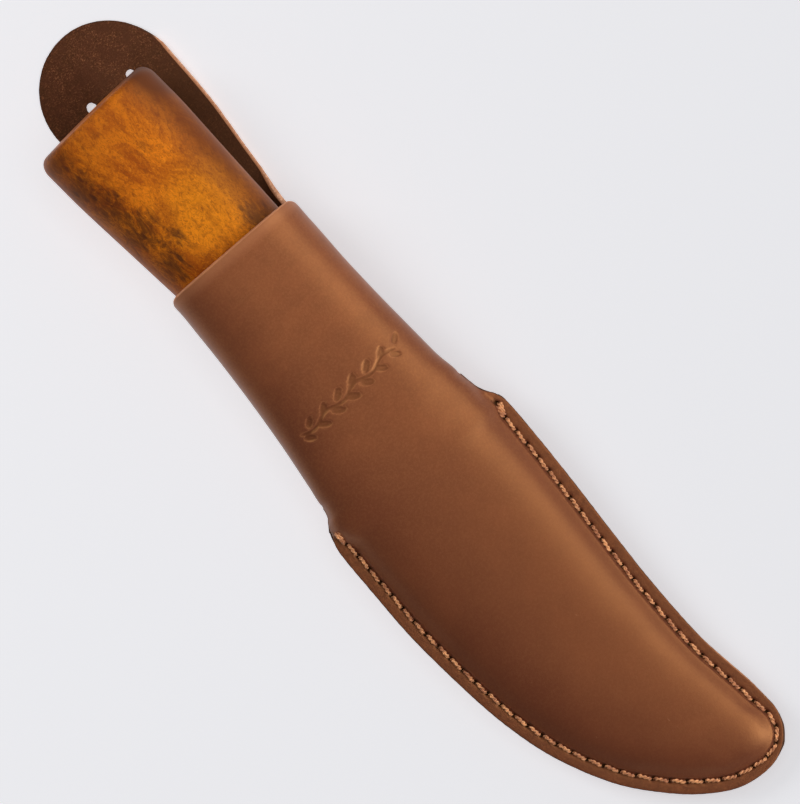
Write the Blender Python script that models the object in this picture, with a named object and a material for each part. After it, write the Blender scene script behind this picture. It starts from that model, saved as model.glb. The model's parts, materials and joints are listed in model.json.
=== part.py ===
"""A belt knife in its moulded leather sheath, each real piece as an object of its own.

Metres, +Z up. The sheath lies on its back on z = 0. +Y runs along it towards the butt of the
knife, and +X towards the spine of the blade. All points below are counted from the middle of
the sheath's mouth, and the root empty then puts the centre of the whole footprint at the origin.
The handle is thicker than the blade, so the knife's axis climbs from the tip to the butt.
"""

import math

import bmesh
import bpy
import numpy as np
from mathutils import Vector

# Driving dimensions
LEATHER = 0.0022
GAP = 0.0003
AXIS_HEIGHT = 0.01755  # of the knife's axis over the floor, at the mouth
SLOPE = 0.0627  # rise of that axis for each metre of Y
KNIFE_X = -0.00075
PANEL_GAP = 0.0004
HALF_SEAM = LEATHER + PANEL_GAP / 2  # half of the flange, which is two leathers thick

# Sheath outlines, from the left of the mouth round the tip to the right of the mouth
CREASE_POINTS = [
    (-0.0212, 0.0010), (-0.0217, -0.0110), (-0.0236, -0.0280), (-0.0262, -0.0450),
    (-0.0290, -0.0600), (-0.0304, -0.0720), (-0.0314, -0.0900), (-0.0321, -0.1090),
    (-0.0315, -0.1290), (-0.0286, -0.1480), (-0.0225, -0.1665), (-0.0144, -0.1786),
    (-0.0027, -0.1887), (0.0048, -0.1907), (0.0092, -0.1889), (0.0116, -0.1846),
    (0.0122, -0.1775), (0.0118, -0.1680), (0.0113, -0.1570), (0.0129, -0.1370),
    (0.0157, -0.1090), (0.0178, -0.0880), (0.0192, -0.0720), (0.0196, -0.0560),
    (0.0196, -0.0400), (0.0199, -0.0240), (0.0206, -0.0100), (0.0206, 0.0010),
]
EDGE_POINTS = [
    (-0.0304, -0.0650), (-0.0335, -0.0712), (-0.0353, -0.0765), (-0.0368, -0.0913),
    (-0.0376, -0.1085), (-0.0373, -0.1245), (-0.0361, -0.1400), (-0.0330, -0.1550),
    (-0.0268, -0.1703), (-0.0188, -0.1821), (-0.0111, -0.1900), (-0.0030, -0.1952),
    (0.0055, -0.1968), (0.0120, -0.1949), (0.0162, -0.1906), (0.0179, -0.1850),
    (0.0180, -0.1780), (0.0174, -0.1690), (0.0168, -0.1590), (0.0178, -0.1400),
    (0.0197, -0.1225), (0.0216, -0.1070), (0.0232, -0.0913), (0.0239, -0.0800),
    (0.0229, -0.0748), (0.0209, -0.0700), (0.0200, -0.0650),
]
# Values along the sheath, as (y, value)
MIDDLE = [(-0.172, -0.0034), (-0.150, -0.0076), (-0.130, -0.0086), (-0.107, -0.0080),
          (-0.080, -0.0062), (-0.060, -0.0048), (-0.030, -0.0020), (0.0, -0.0004)]
CROWN = [(-0.200, 0.0077), (-0.172, 0.0080), (-0.140, 0.0089), (-0.110, 0.0102),
         (-0.080, 0.0117), (-0.060, 0.0127), (-0.030, 0.0142), (0.0, 0.01505)]
BACK_LEFT = [(-0.067, -0.0306), (-0.062, -0.0285), (-0.056, -0.0250), (-0.048, -0.0222),
             (-0.030, -0.0195), (0.0, -0.0176), (0.0515, -0.0120)]
BACK_RIGHT = [(-0.067, 0.0200), (-0.062, 0.0190), (-0.056, 0.0182), (-0.040, 0.0178),
              (-0.020, 0.0190), (0.0, 0.0201), (0.0153, 0.0221), (0.031, 0.0245), (0.0515, 0.0260)]

TIP_CENTRE_Y = -0.172  # the ribs below this fan out round one point
TIP_OVERLAP = 0.004
FLANGE_TOP_Y = -0.067
WING_BOTTOM_Y = -0.0643
BACKING_BOTTOM_Y = -0.0652  # from here up, the back panel lies outside the wings
MOUTH_SLANT = 0.065  # the mouth drops this much towards +X
MOUTH_FADE = 0.012
DOME_POWER = 2.2
BACK_POWER = 2.6
BACK_FULLNESS = 1.05  # over 1, so that the back is cut off flat on z = 0
WING_PARTING = 0.0006
STITCH_INSET = 0.68  # of the way from the edge to the crease
TONGUE_RADIUS = 0.0190
TONGUE_CENTRE = (0.0070, 0.0515)

SLOT_TOPS = [(0.0004, 0.0520), (0.0139, 0.0515)]
SLOT_LENGTH = 0.045
SLOT_WIDTH = 0.0027
TONGUE_LEAN = 0.113  # the tongue's middle moves this much in X for each metre of Y
TONGUE_FLATTENS = (-0.004, 0.010)  # its edges come down to z = 0 between these

THREAD_RADIUS = 0.0004
COLLAR_ROW_OFFSET = 0.0055
COLLAR_ROW_ENDS = (-0.058, -0.006)
ROW_GROOVE_WIDTH = 0.0016
ROW_GROOVE_DEPTH = 0.0013
POUCH_ROW_START_Y = -0.074
OVERCUT = 0.004  # a cutter runs on this far past the face that it opens

# Insert
LINER_TOP_Y = -0.0795
LINER_RIM = 0.0010
BLADE_ROOM = 0.0005
SLOT_HALF_DEPTH = 0.0022
RECESS_STRAIGHT_Y = -0.0900  # above this the recess is as wide as the blade ever gets

# Knife, in its own frame: y along the axis from the mouth, x across, z through the thickness
HANDLE_FRONT_Y = -0.0760
BLADE_TIP_Y = -0.1800
BLADE_HEEL_Y = -0.0763
HANDLE_HALF_WIDTH = [(-0.0760, 0.0126), (-0.0750, 0.0136), (-0.0700, 0.0146), (-0.0550, 0.0160),
                     (-0.0350, 0.0169), (-0.0150, 0.0174), (0.0, 0.01775), (0.0100, 0.0182),
                     (0.0250, 0.0189), (0.0400, 0.0194), (0.0465, 0.0194), (0.0485, 0.0189),
                     (0.0498, 0.0178), (0.0505, 0.0160)]
HANDLE_HALF_HEIGHT = [(-0.0760, 0.0069), (-0.0750, 0.0075), (-0.0700, 0.0079), (-0.0500, 0.0091),
                      (-0.0250, 0.0107), (0.0, 0.0122), (0.0250, 0.0128), (0.0465, 0.0130),
                      (0.0485, 0.0126), (0.0498, 0.0117), (0.0505, 0.0102)]
HANDLE_POWER = 2.25  # of the superellipse that its cross-section is
HANDLE_SIDES = 28
SPINE = [(-0.1800, 0.0049), (-0.1720, 0.0054), (-0.1500, 0.0072), (-0.1350, 0.0087),
         (-0.1180, 0.0102), (-0.1000, 0.0112), (-0.0840, 0.0116), (-0.0763, 0.0115)]
EDGE = [(-0.1800, 0.0046), (-0.1780, 0.0020), (-0.1720, -0.0038), (-0.1630, -0.0086),
        (-0.1500, -0.0128), (-0.1350, -0.0154), (-0.1180, -0.0164), (-0.1000, -0.0164),
        (-0.0840, -0.0156), (-0.0763, -0.0145)]
BLADE_THICKNESS = [(-0.1800, 0.0010), (-0.1700, 0.0022), (-0.1500, 0.0033), (-0.1300, 0.0036),
                   (-0.0763, 0.0036)]
BEVEL_WIDTH = 0.007
MOST_BEVEL = 0.6  # of the blade's own width, near its point
EDGE_THICKNESS = 0.0003
TANG_WIDTH = 0.0080
TANG_THICKNESS = 0.0032
TANG_TOP_Y = 0.0140
BEDDING_WALL = 0.0011


def curve_value(knots, at):
    """A smooth curve through (place, value) knots, read at one or many places."""
    place, value = np.array(knots).T
    secant = np.diff(value) / np.diff(place)
    before, after = np.append(secant[0], secant), np.append(secant, secant[-1])
    most = 2 * np.minimum(np.abs(before), np.abs(after)) * (before * after > 0)
    slope = np.clip((before + after) / 2, -most, most)
    at = np.clip(np.asarray(at, float), place[0], place[-1])
    i = np.clip(np.searchsorted(place, at) - 1, 0, len(place) - 2)
    span = place[i + 1] - place[i]
    t = (at - place[i]) / span
    ease = t * t * (3 - 2 * t)
    rise = slope[i] * span * t * (1 - t) ** 2 - slope[i + 1] * span * t * t * (1 - t)
    return value[i] * (1 - ease) + value[i + 1] * ease + rise


def smooth_line(points, steps=12):
    """A dense polyline through hand-set points."""
    count = len(points)
    at = np.linspace(0, count - 1, (count - 1) * steps + 1)
    axes = [curve_value(list(enumerate(axis)), at) for axis in np.array(points).T]
    return np.stack(axes, axis=1)


def axis_z(y):
    return AXIS_HEIGHT + SLOPE * np.asarray(y, float)


def dome_rise(s, power):
    """0 at the crease (s = 0), 1 at the middle (s = 1), upright at the crease."""
    return (1 - (1 - np.clip(s, 0, 1)) ** power) ** (1 / power)


def blend(low, high, value):
    t = np.clip((value - low) / (high - low), 0, 1)
    return t * t * (3 - 2 * t)


# The sheath's ribs: half sections from its middle line out to the crease

def tip_centre():
    return np.array([curve_value(MIDDLE, TIP_CENTRE_Y), TIP_CENTRE_Y])


def line_sides(line):
    """x as a function of y on the left and right, and the radius by angle round the tip."""
    turn = int(np.argmin(line[:, 1]))
    left = line[: turn + 1][::-1]
    right = line[turn:]
    below = line[line[:, 1] <= TIP_CENTRE_Y + TIP_OVERLAP] - tip_centre()
    angle = np.unwrap(np.arctan2(below[:, 1], below[:, 0]))
    angle += 2 * math.pi * round((-math.pi / 2 - angle.mean()) / (2 * math.pi))
    radius = np.hypot(below[:, 0], below[:, 1])
    return left, right, (angle, radius)


def line_points(line, left_rows, fan_angles, right_rows):
    left, right, (angle, radius) = line_sides(line)
    on_left = [(np.interp(y, left[:, 1], left[:, 0]), y) for y in left_rows]
    on_right = [(np.interp(y, right[:, 1], right[:, 0]), y) for y in right_rows]
    reach = np.interp(fan_angles, angle, radius)
    around = np.stack([np.cos(fan_angles), np.sin(fan_angles)], axis=1) * reach[:, None]
    return np.array(on_left + list(around + tip_centre()) + on_right)


def rib_lines(rows, fans):
    """For ribs at these rows and tip sectors: middle, crease and edge points."""
    angles = np.linspace(-math.pi, 0, fans + 2)[1:-1]
    crease = line_points(smooth_line(CREASE_POINTS), rows, angles, rows[::-1])
    edge = line_points(smooth_line(EDGE_POINTS), rows, angles, rows[::-1])
    row_middles = [(curve_value(MIDDLE, y), y) for y in rows]
    fan_middles = [tuple(tip_centre())] * fans
    middle = np.array(row_middles + fan_middles + row_middles[::-1])
    return middle, crease, edge


def steps_to_middle(count):
    """Places from the middle (1) to the crease (0), closer together at the crease."""
    return np.linspace(1, 0, count + 1) ** 1.6


def slanted(points):
    """The mouth's rim runs down towards +X."""
    points = np.array(points, float)
    fade = blend(-MOUTH_FADE, 0.0, points[..., 1])
    points[..., 1] -= MOUTH_SLANT * (points[..., 0] + 0.0210) * fade
    return points


def dome_strip(middle, crease, columns, height):
    """Rows of points from the middle out to the crease, at height(y, s)."""
    s = steps_to_middle(columns)
    flat = crease[:, None] + (middle - crease)[:, None] * s[None, :, None]
    z = height(flat[..., 1], np.broadcast_to(s, flat.shape[:2]))
    return np.concatenate([flat, z[..., None]], axis=2)


def front_height(y, s):
    rise = curve_value(CROWN, y) - HALF_SEAM
    return axis_z(y) + HALF_SEAM + rise * dome_rise(s, DOME_POWER)


def wing_height(y, s):
    start = axis_z(y) - HALF_SEAM
    return start - (start - LEATHER - GAP) * dome_rise(s, DOME_POWER)


def back_height(y, s):
    start = axis_z(y) - HALF_SEAM
    return np.maximum(start - start * BACK_FULLNESS * dome_rise(s, BACK_POWER), 0.0)


def flange_strip(crease, edge, level, stops=(0.0, 0.5, 1.0)):
    rows = []
    for inner, outer in zip(crease, edge):
        flat = [inner + (outer - inner) * stop for stop in stops]
        rows.append([(x, y, axis_z(y) + level) for x, y in flat])
    return np.array(rows)


# Meshes and objects

def add_strip(mesh, strip, facing_up=True):
    made = [[mesh.verts.new(Vector(point)) for point in row] for row in strip]
    for row, after in zip(made, made[1:]):
        for k in range(len(row) - 1):
            corners = [row[k], row[k + 1], after[k + 1], after[k]]
            mesh.faces.new(corners if facing_up else corners[::-1])


def weld(mesh):
    bmesh.ops.remove_doubles(mesh, verts=mesh.verts[:], dist=2e-6)
    bmesh.ops.dissolve_degenerate(mesh, edges=mesh.edges[:], dist=1e-6)


def principled(name, colour, roughness, metallic=0.0):
    material = bpy.data.materials.new(name)
    material.use_nodes = True
    shader = material.node_tree.nodes["Principled BSDF"]
    shader.inputs["Base Color"].default_value = (*colour, 1.0)
    shader.inputs["Roughness"].default_value = roughness
    shader.inputs["Metallic"].default_value = metallic
    return material


def add_object(name, mesh, parent, material=None, smooth=True):
    data = bpy.data.meshes.new(name)
    mesh.to_mesh(data)
    mesh.free()
    if smooth:
        data.shade_smooth()
        data.set_sharp_from_angle(angle=math.radians(40))
    piece = bpy.data.objects.new(name, data)
    bpy.context.scene.collection.objects.link(piece)
    piece.parent = parent
    if material:
        data.materials.append(material)
    return piece


def add_empty(name, parent=None):
    empty = bpy.data.objects.new(name, None)
    bpy.context.scene.collection.objects.link(empty)
    empty.parent = parent
    return empty


def thicken(piece, thickness):
    """Grows the leather inwards from its outer face."""
    solidify = piece.modifiers.new("leather", "SOLIDIFY")
    solidify.thickness = thickness
    solidify.offset = -1
    solidify.solidify_mode = "NON_MANIFOLD"
    solidify.nonmanifold_thickness_mode = "CONSTRAINTS"
    solidify.use_rim = True


def cut(piece, cutter):
    cutter.hide_render = True
    cutter.display_type = "WIRE"
    boolean = piece.modifiers.new("cut_" + cutter.name, "BOOLEAN")
    boolean.operation = "DIFFERENCE"
    boolean.object = cutter
    boolean.solver = "EXACT"


def prism(outline, low, high):
    """An upright prism on a closed outline; low and high give z at (x, y)."""
    mesh = bmesh.new()
    under = [mesh.verts.new((x, y, low(x, y))) for x, y in outline]
    over = [mesh.verts.new((x, y, high(x, y))) for x, y in outline]
    mesh.faces.new(under)
    mesh.faces.new(over)
    for i in range(len(outline)):
        j = (i + 1) % len(outline)
        mesh.faces.new([under[i], under[j], over[j], over[i]])
    bmesh.ops.recalc_face_normals(mesh, faces=mesh.faces[:])
    return mesh


def stadium(start, end, width, corner_steps=4):
    """A slot's outline from one round end's tip to the other's."""
    start, end = Vector(start), Vector(end)
    along = (end - start).normalized()
    across = Vector((-along.y, along.x))
    points = []
    for centre, sign in ((start + along * width / 2, -1), (end - along * width / 2, 1)):
        for k in range(corner_steps + 1):
            turn = math.pi * (k / corner_steps - 0.5)
            outward = along * math.cos(turn) + across * math.sin(turn)
            points.append(centre + outward * sign * width / 2)
    return [(p.x, p.y) for p in points]


def loft(sections):
    """A closed body through sections that all have the same number of points."""
    mesh = bmesh.new()
    rings = [[mesh.verts.new(Vector(point)) for point in section] for section in sections]
    count = len(rings[0])
    for ring, after in zip(rings, rings[1:]):
        for k in range(count):
            mesh.faces.new([ring[k], ring[(k + 1) % count], after[(k + 1) % count], after[k]])
    mesh.faces.new(rings[0][::-1])
    mesh.faces.new(rings[-1])
    bmesh.ops.recalc_face_normals(mesh, faces=mesh.faces[:])
    return mesh


def add_thread(name, points, parent, material):
    curve = bpy.data.curves.new(name, "CURVE")
    curve.dimensions = "3D"
    curve.bevel_depth = THREAD_RADIUS
    curve.bevel_resolution = 1
    curve.use_fill_caps = True
    spline = curve.splines.new("POLY")
    spline.points.add(len(points) - 1)
    for target, point in zip(spline.points, points):
        target.co = (*point, 1.0)
    curve.materials.append(material)
    thread = bpy.data.objects.new(name, curve)
    bpy.context.scene.collection.objects.link(thread)
    thread.parent = parent
    return thread


# Leather

POUCH_ROWS = [-0.070, -0.0735, -0.078, -0.086, -0.098, -0.112, -0.126, -0.140, -0.152,
              -0.162, -0.168, TIP_CENTRE_Y]
COLLAR_ROWS = [0.001, -0.003, -0.010, -0.020, -0.032, -0.044, -0.054, WING_BOTTOM_Y]
TIP_SECTORS = 13
DOME_COLUMNS = 6
WING_COLUMNS = 6
THREAD_ROWS = 30
THREAD_SECTORS = 21


def sheath_front(parent, material):
    rows = COLLAR_ROWS + [FLANGE_TOP_Y] + POUCH_ROWS
    middle, crease, edge = rib_lines(rows, TIP_SECTORS)
    first_flange = rows.index(FLANGE_TOP_Y)
    flange = slice(first_flange, len(crease) - first_flange)
    wing_count = rows.index(WING_BOTTOM_Y) + 1
    mesh = bmesh.new()
    add_strip(mesh, slanted(dome_strip(middle, crease, DOME_COLUMNS, front_height)))
    add_strip(mesh, flange_strip(crease[flange], edge[flange], HALF_SEAM))
    for side in (slice(0, wing_count), slice(len(crease) - wing_count, len(crease))):
        inwards = crease[side] - middle[side]
        parting = middle[side] + inwards * WING_PARTING / np.abs(inwards[:, :1])
        wing = dome_strip(parting, crease[side], WING_COLUMNS, wing_height)[:, ::-1]
        turn = dome_strip(middle[side], crease[side], DOME_COLUMNS, front_height)[:, -1:]
        add_strip(mesh, slanted(np.concatenate([turn, wing], axis=1)))
    weld(mesh)
    piece = add_object("sheath_front", mesh, parent, material)
    thicken(piece, LEATHER)
    return piece


def back_side_rows():
    above = list(np.linspace(COLLAR_ROWS[0], TONGUE_CENTRE[1], 7))
    turn = [math.radians(a) for a in (18, 36, 54, 70, 82)]
    cap = [TONGUE_CENTRE[1] + TONGUE_RADIUS * math.sin(a) for a in turn]
    return (above + cap)[::-1] + COLLAR_ROWS[1:] + [BACKING_BOTTOM_Y]


def back_reach(y, knots):
    """Where the back panel ends at this row, on the side that the knots describe."""
    over = y - TONGUE_CENTRE[1]
    if over <= 0:
        return float(curve_value(knots, y))
    side = math.copysign(1, curve_value(knots, 0))
    return TONGUE_CENTRE[0] + side * math.sqrt(TONGUE_RADIUS**2 - over**2)


def back_strip(rows, knots, columns):
    """The collar's backing and the tongue, from the middle out to one side."""
    left, right, _ = line_sides(smooth_line(CREASE_POINTS))
    side = left if curve_value(knots, 0) < 0 else right
    strip = []
    for y in rows:
        middle = float(curve_value(MIDDLE, y)) + TONGUE_LEAN * max(y, 0.0)
        half = abs(np.interp(y, side[:, 1], side[:, 0]) - middle)
        half += (LEATHER + 2 * GAP) * blend(FLANGE_TOP_Y, BACKING_BOTTOM_Y, y)
        reach = back_reach(y, knots)
        x = middle + (reach - middle) * (1 - steps_to_middle(columns))
        row = np.full_like(x, y)
        flatness = blend(*TONGUE_FLATTENS, y)
        z = back_height(row, 1 - np.abs(x - middle) / half) * (1 - flatness)
        strip.append(np.stack([x, row, z], axis=1))
    return np.array(strip)


def sheath_back(parent, material):
    rows = [FLANGE_TOP_Y] + POUCH_ROWS
    middle, crease, edge = rib_lines(rows, TIP_SECTORS)
    pouch = dome_strip(middle, crease, DOME_COLUMNS, back_height)
    mesh = bmesh.new()
    add_strip(mesh, pouch, facing_up=False)
    add_strip(mesh, flange_strip(crease, edge, -HALF_SEAM), facing_up=False)
    side_rows = back_side_rows()
    left = np.concatenate([back_strip(side_rows, BACK_LEFT, DOME_COLUMNS), pouch[:1]])
    right = np.concatenate([back_strip(side_rows, BACK_RIGHT, DOME_COLUMNS), pouch[-1:]])
    add_strip(mesh, left, facing_up=False)
    add_strip(mesh, right[::-1], facing_up=False)
    weld(mesh)
    piece = add_object("sheath_back", mesh, parent, material)
    thicken(piece, LEATHER)
    for index, top in enumerate(SLOT_TOPS):
        end = (top[0] - TONGUE_LEAN * SLOT_LENGTH, top[1] - SLOT_LENGTH)
        outline = stadium(end, top, SLOT_WIDTH)
        shape = prism(outline, lambda x, y: -OVERCUT, lambda x, y: LEATHER + OVERCUT)
        cut(piece, add_object(f"belt_slot_cutter_{index}", shape, parent, smooth=False))
    for index, sign in enumerate((-1, 1)):
        start, end = collar_row(sign)
        outline = stadium(start, end, ROW_GROOVE_WIDTH, corner_steps=2)
        shape = prism(outline, lambda x, y: -OVERCUT, lambda x, y: ROW_GROOVE_DEPTH)
        cut(piece, add_object(f"row_groove_cutter_{index}", shape, parent, smooth=False))
    return piece


# Threads

def collar_row(sign, shorter=0.0):
    """The two ends of a straight row of stitches at the collar's back."""
    ends = (COLLAR_ROW_ENDS[0] + shorter, COLLAR_ROW_ENDS[1] - shorter)
    return [(float(curve_value(MIDDLE, y)) + sign * COLLAR_ROW_OFFSET, y) for y in ends]


def collar_thread(name, sign, parent, material):
    height = (ROW_GROOVE_DEPTH - GAP) - THREAD_RADIUS
    (x0, y0), (x1, y1) = collar_row(sign, shorter=0.001)
    return add_thread(name, [(x0, y0, height), (x1, y1, height)], parent, material)


def pouch_thread(name, level, parent, material):
    rows = list(np.linspace(POUCH_ROW_START_Y, TIP_CENTRE_Y, THREAD_ROWS))
    _, crease, edge = rib_lines(rows, THREAD_SECTORS)
    path = edge + (crease - edge) * STITCH_INSET
    points = [(x, y, axis_z(y) + level) for x, y in path]
    return add_thread(name, points, parent, material)


# Insert

def liner_half(name, up, parent, material):
    """One half of the insert: its dome follows the leather, and its flat face has the recess."""
    rows = [LINER_TOP_Y] + [y for y in POUCH_ROWS if y < LINER_TOP_Y]
    middle, crease, _ = rib_lines(rows, TIP_SECTORS)
    inwards = middle - crease
    inset = (LEATHER + 2 * GAP) / np.linalg.norm(inwards, axis=1)
    rim = crease + inwards * inset[:, None]
    outer = front_height if up else back_height
    sign = 1 if up else -1

    def height(y, s):
        top = np.abs(outer(y, 1.0) - axis_z(y)) - LEATHER - 2 * GAP
        power = DOME_POWER if up else BACK_POWER
        low = PANEL_GAP / 2 + LINER_RIM
        return axis_z(y) + sign * (low + (top - low) * dome_rise(s, power))

    mesh = bmesh.new()
    add_strip(mesh, dome_strip(middle, rim, DOME_COLUMNS, height))
    weld(mesh)
    made = bmesh.ops.extrude_face_region(mesh, geom=mesh.faces[:])["geom"]
    for vertex in (v for v in made if isinstance(v, bmesh.types.BMVert)):
        vertex.co.z = axis_z(vertex.co.y) + sign * PANEL_GAP / 2
    bmesh.ops.recalc_face_normals(mesh, faces=mesh.faces[:])
    piece = add_object(name, mesh, parent, material)
    cut(piece, blade_recess(name + "_recess_cutter", parent))
    return piece


def blade_recess(name, parent):
    """The room that the blade sweeps as it is drawn, open at the throat."""
    y = np.linspace(BLADE_TIP_Y, RECESS_STRAIGHT_Y, 16)
    edge = np.minimum.accumulate(curve_value(EDGE, y)) - BLADE_ROOM + KNIFE_X
    spine = np.maximum.accumulate(curve_value(SPINE, y)) + BLADE_ROOM + KNIFE_X
    tip = [(edge[0], y[0] - BLADE_ROOM), (spine[0], y[0] - BLADE_ROOM)]
    mouth = LINER_TOP_Y + OVERCUT
    up = list(zip(spine, y)) + [(spine[-1] + BLADE_ROOM, mouth)]
    down = [(edge[-1], mouth)] + list(zip(edge, y))[::-1]
    shape = prism(
        tip + up + down,
        lambda x, y: float(axis_z(y)) - SLOT_HALF_DEPTH,
        lambda x, y: float(axis_z(y)) + SLOT_HALF_DEPTH,
    )
    return add_object(name, shape, parent, smooth=False)


# Knife

def blade(parent, material):
    places = [BLADE_TIP_Y, -0.1780, -0.1750, -0.1700, -0.1630, -0.1550, -0.1450, -0.1350,
              -0.1200, -0.1050, -0.0900, BLADE_HEEL_Y]
    sections = []
    for y in places:
        spine = float(curve_value(SPINE, y))
        edge = float(curve_value(EDGE, y))
        half = float(curve_value(BLADE_THICKNESS, y)) / 2
        bevel = edge + min(BEVEL_WIDTH, MOST_BEVEL * (spine - edge))
        thin = EDGE_THICKNESS / 2
        sections.append([(spine, y, half), (bevel, y, half), (edge, y, thin),
                         (edge, y, -thin), (bevel, y, -half), (spine, y, -half)])
    side, half = TANG_WIDTH / 2, TANG_THICKNESS / 2
    for y in (places[-1], TANG_TOP_Y):
        sections.append([(side, y, half), (0.0, y, half), (-side, y, half),
                         (-side, y, -half), (0.0, y, -half), (side, y, -half)])
    return add_object("blade", loft(sections), parent, material)


def handle(parent, material):
    places = [y for y, _ in HANDLE_HALF_WIDTH]
    turns = np.linspace(0, 2 * math.pi, HANDLE_SIDES + 1)[:-1]
    cosine, sine = np.cos(turns), np.sin(turns)
    round_x = np.sign(cosine) * np.abs(cosine) ** (2 / HANDLE_POWER)
    round_z = np.sign(sine) * np.abs(sine) ** (2 / HANDLE_POWER)
    sections = []
    for y in places:
        width = curve_value(HANDLE_HALF_WIDTH, y)
        height = curve_value(HANDLE_HALF_HEIGHT, y)
        sections.append([(x * width, y, z * height) for x, z in zip(round_x, round_z)])
    piece = add_object("handle", loft(sections), parent, material)
    wall = BEDDING_WALL + 2 * GAP
    bore = box_between("tang_bore_cutter", wall, HANDLE_FRONT_Y - OVERCUT, wall, parent)
    cut(piece, bore)
    return piece


def box_between(name, wall, start_y, end_wall, parent, material=None):
    """A box round the tang, wall thicker on each side and end_wall longer."""
    x, z = TANG_WIDTH / 2 + wall, TANG_THICKNESS / 2 + wall
    sections = [[(x, y, z), (-x, y, z), (-x, y, -z), (x, y, -z)]
                for y in (start_y, TANG_TOP_Y + end_wall)]
    return add_object(name, loft(sections), parent, material, smooth=False)


def tang_bedding(parent, material):
    """Set glue: a cup that fills the bore round the tang."""
    wall = BEDDING_WALL + GAP
    piece = box_between("tang_bedding", wall, HANDLE_FRONT_Y + GAP, wall, parent, material)
    cut(piece, box_between("tang_room_cutter", GAP, HANDLE_FRONT_Y - OVERCUT, GAP, parent))
    return piece


def centre_on_origin(root):
    """Moves the root so that the footprint's centre is at the origin, standing on z = 0."""
    bpy.context.view_layer.update()
    graph = bpy.context.evaluated_depsgraph_get()
    corners = []
    for piece in bpy.data.objects:
        if piece.type in ("MESH", "CURVE") and not piece.hide_render:
            shape = piece.evaluated_get(graph)
            mesh = shape.to_mesh()
            corners.extend(shape.matrix_world @ vertex.co for vertex in mesh.vertices)
            shape.to_mesh_clear()
    corners = np.array(corners)
    low, high = corners.min(axis=0), corners.max(axis=0)
    root.location = (-(low[0] + high[0]) / 2, -(low[1] + high[1]) / 2, -low[2])


def main():
    for old in list(bpy.data.objects):
        bpy.data.objects.remove(old, do_unlink=True)
    root = add_empty("sheath_origin")
    axis = add_empty("knife_axis", root)
    axis.location = (KNIFE_X, 0.0, AXIS_HEIGHT)
    axis.rotation_euler = (math.atan(SLOPE), 0.0, 0.0)

    leather = principled("brown_leather", (0.19, 0.065, 0.027), 0.42)
    flesh = principled("leather_flesh_side", (0.060, 0.021, 0.014), 0.85)
    thread = principled("copper_thread", (0.45, 0.17, 0.06), 0.6)
    insert = principled("black_insert", (0.02, 0.02, 0.02), 0.5)
    steel = principled("blade_steel", (0.56, 0.57, 0.58), 0.3, 1.0)
    wood = principled("burl_wood", (0.46, 0.14, 0.012), 0.35)
    glue = principled("set_glue", (0.55, 0.42, 0.22), 0.4)

    sheath_front(root, leather)
    sheath_back(root, flesh)
    liner_half("liner_front", True, root, insert)
    liner_half("liner_back", False, root, insert)
    out = HALF_SEAM + GAP + THREAD_RADIUS
    pouch_thread("pouch_thread_front", out, root, thread)
    pouch_thread("pouch_thread_back", -out, root, thread)
    collar_thread("collar_thread_left", -1, root, thread)
    collar_thread("collar_thread_right", 1, root, thread)
    blade(axis, steel)
    handle(axis, wood)
    tang_bedding(axis, glue)
    centre_on_origin(root)


main()
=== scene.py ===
"""The looks of a belt knife in its moulded leather sheath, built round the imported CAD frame.

Lengths are in metres. Outlines are the CAD's own, apart from the ears of the pouch and the ends
of the belt slots. They are counted from the middle of the sheath's mouth: x towards the spine of
the blade, y towards the butt, z up from the floor. MOUTH is where that point lies in the frame,
and every piece is moved there when its mesh is made.
"""

import json
import math

import bpy
import numpy as np
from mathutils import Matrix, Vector, noise

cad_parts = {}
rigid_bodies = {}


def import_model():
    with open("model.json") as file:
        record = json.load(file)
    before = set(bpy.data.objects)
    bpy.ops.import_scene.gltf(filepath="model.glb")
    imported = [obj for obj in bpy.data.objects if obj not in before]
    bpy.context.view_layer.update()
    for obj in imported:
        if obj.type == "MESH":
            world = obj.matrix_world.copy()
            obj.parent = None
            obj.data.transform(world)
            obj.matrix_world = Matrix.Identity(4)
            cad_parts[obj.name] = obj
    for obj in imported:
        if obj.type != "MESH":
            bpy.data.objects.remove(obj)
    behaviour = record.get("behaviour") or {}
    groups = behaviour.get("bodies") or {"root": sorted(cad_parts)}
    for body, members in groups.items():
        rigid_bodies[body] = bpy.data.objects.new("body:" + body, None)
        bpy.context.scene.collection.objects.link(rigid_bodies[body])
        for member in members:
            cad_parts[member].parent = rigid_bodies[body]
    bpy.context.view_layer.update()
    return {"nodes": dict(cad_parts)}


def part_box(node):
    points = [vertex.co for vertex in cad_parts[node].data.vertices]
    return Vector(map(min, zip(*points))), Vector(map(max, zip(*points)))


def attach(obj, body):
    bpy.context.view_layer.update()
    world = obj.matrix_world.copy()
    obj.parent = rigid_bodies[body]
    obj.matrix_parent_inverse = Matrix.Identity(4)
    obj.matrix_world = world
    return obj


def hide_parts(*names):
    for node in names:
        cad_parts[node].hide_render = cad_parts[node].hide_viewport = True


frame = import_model()

# The place of the mouth, from the CAD's own corner of the front panel
FRONT_LOW_CORNER = (-0.03759, -0.19654)
front_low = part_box("sheath_front")[0]
MOUTH = np.array([front_low.x - FRONT_LOW_CORNER[0], front_low.y - FRONT_LOW_CORNER[1], 0.0])

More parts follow.
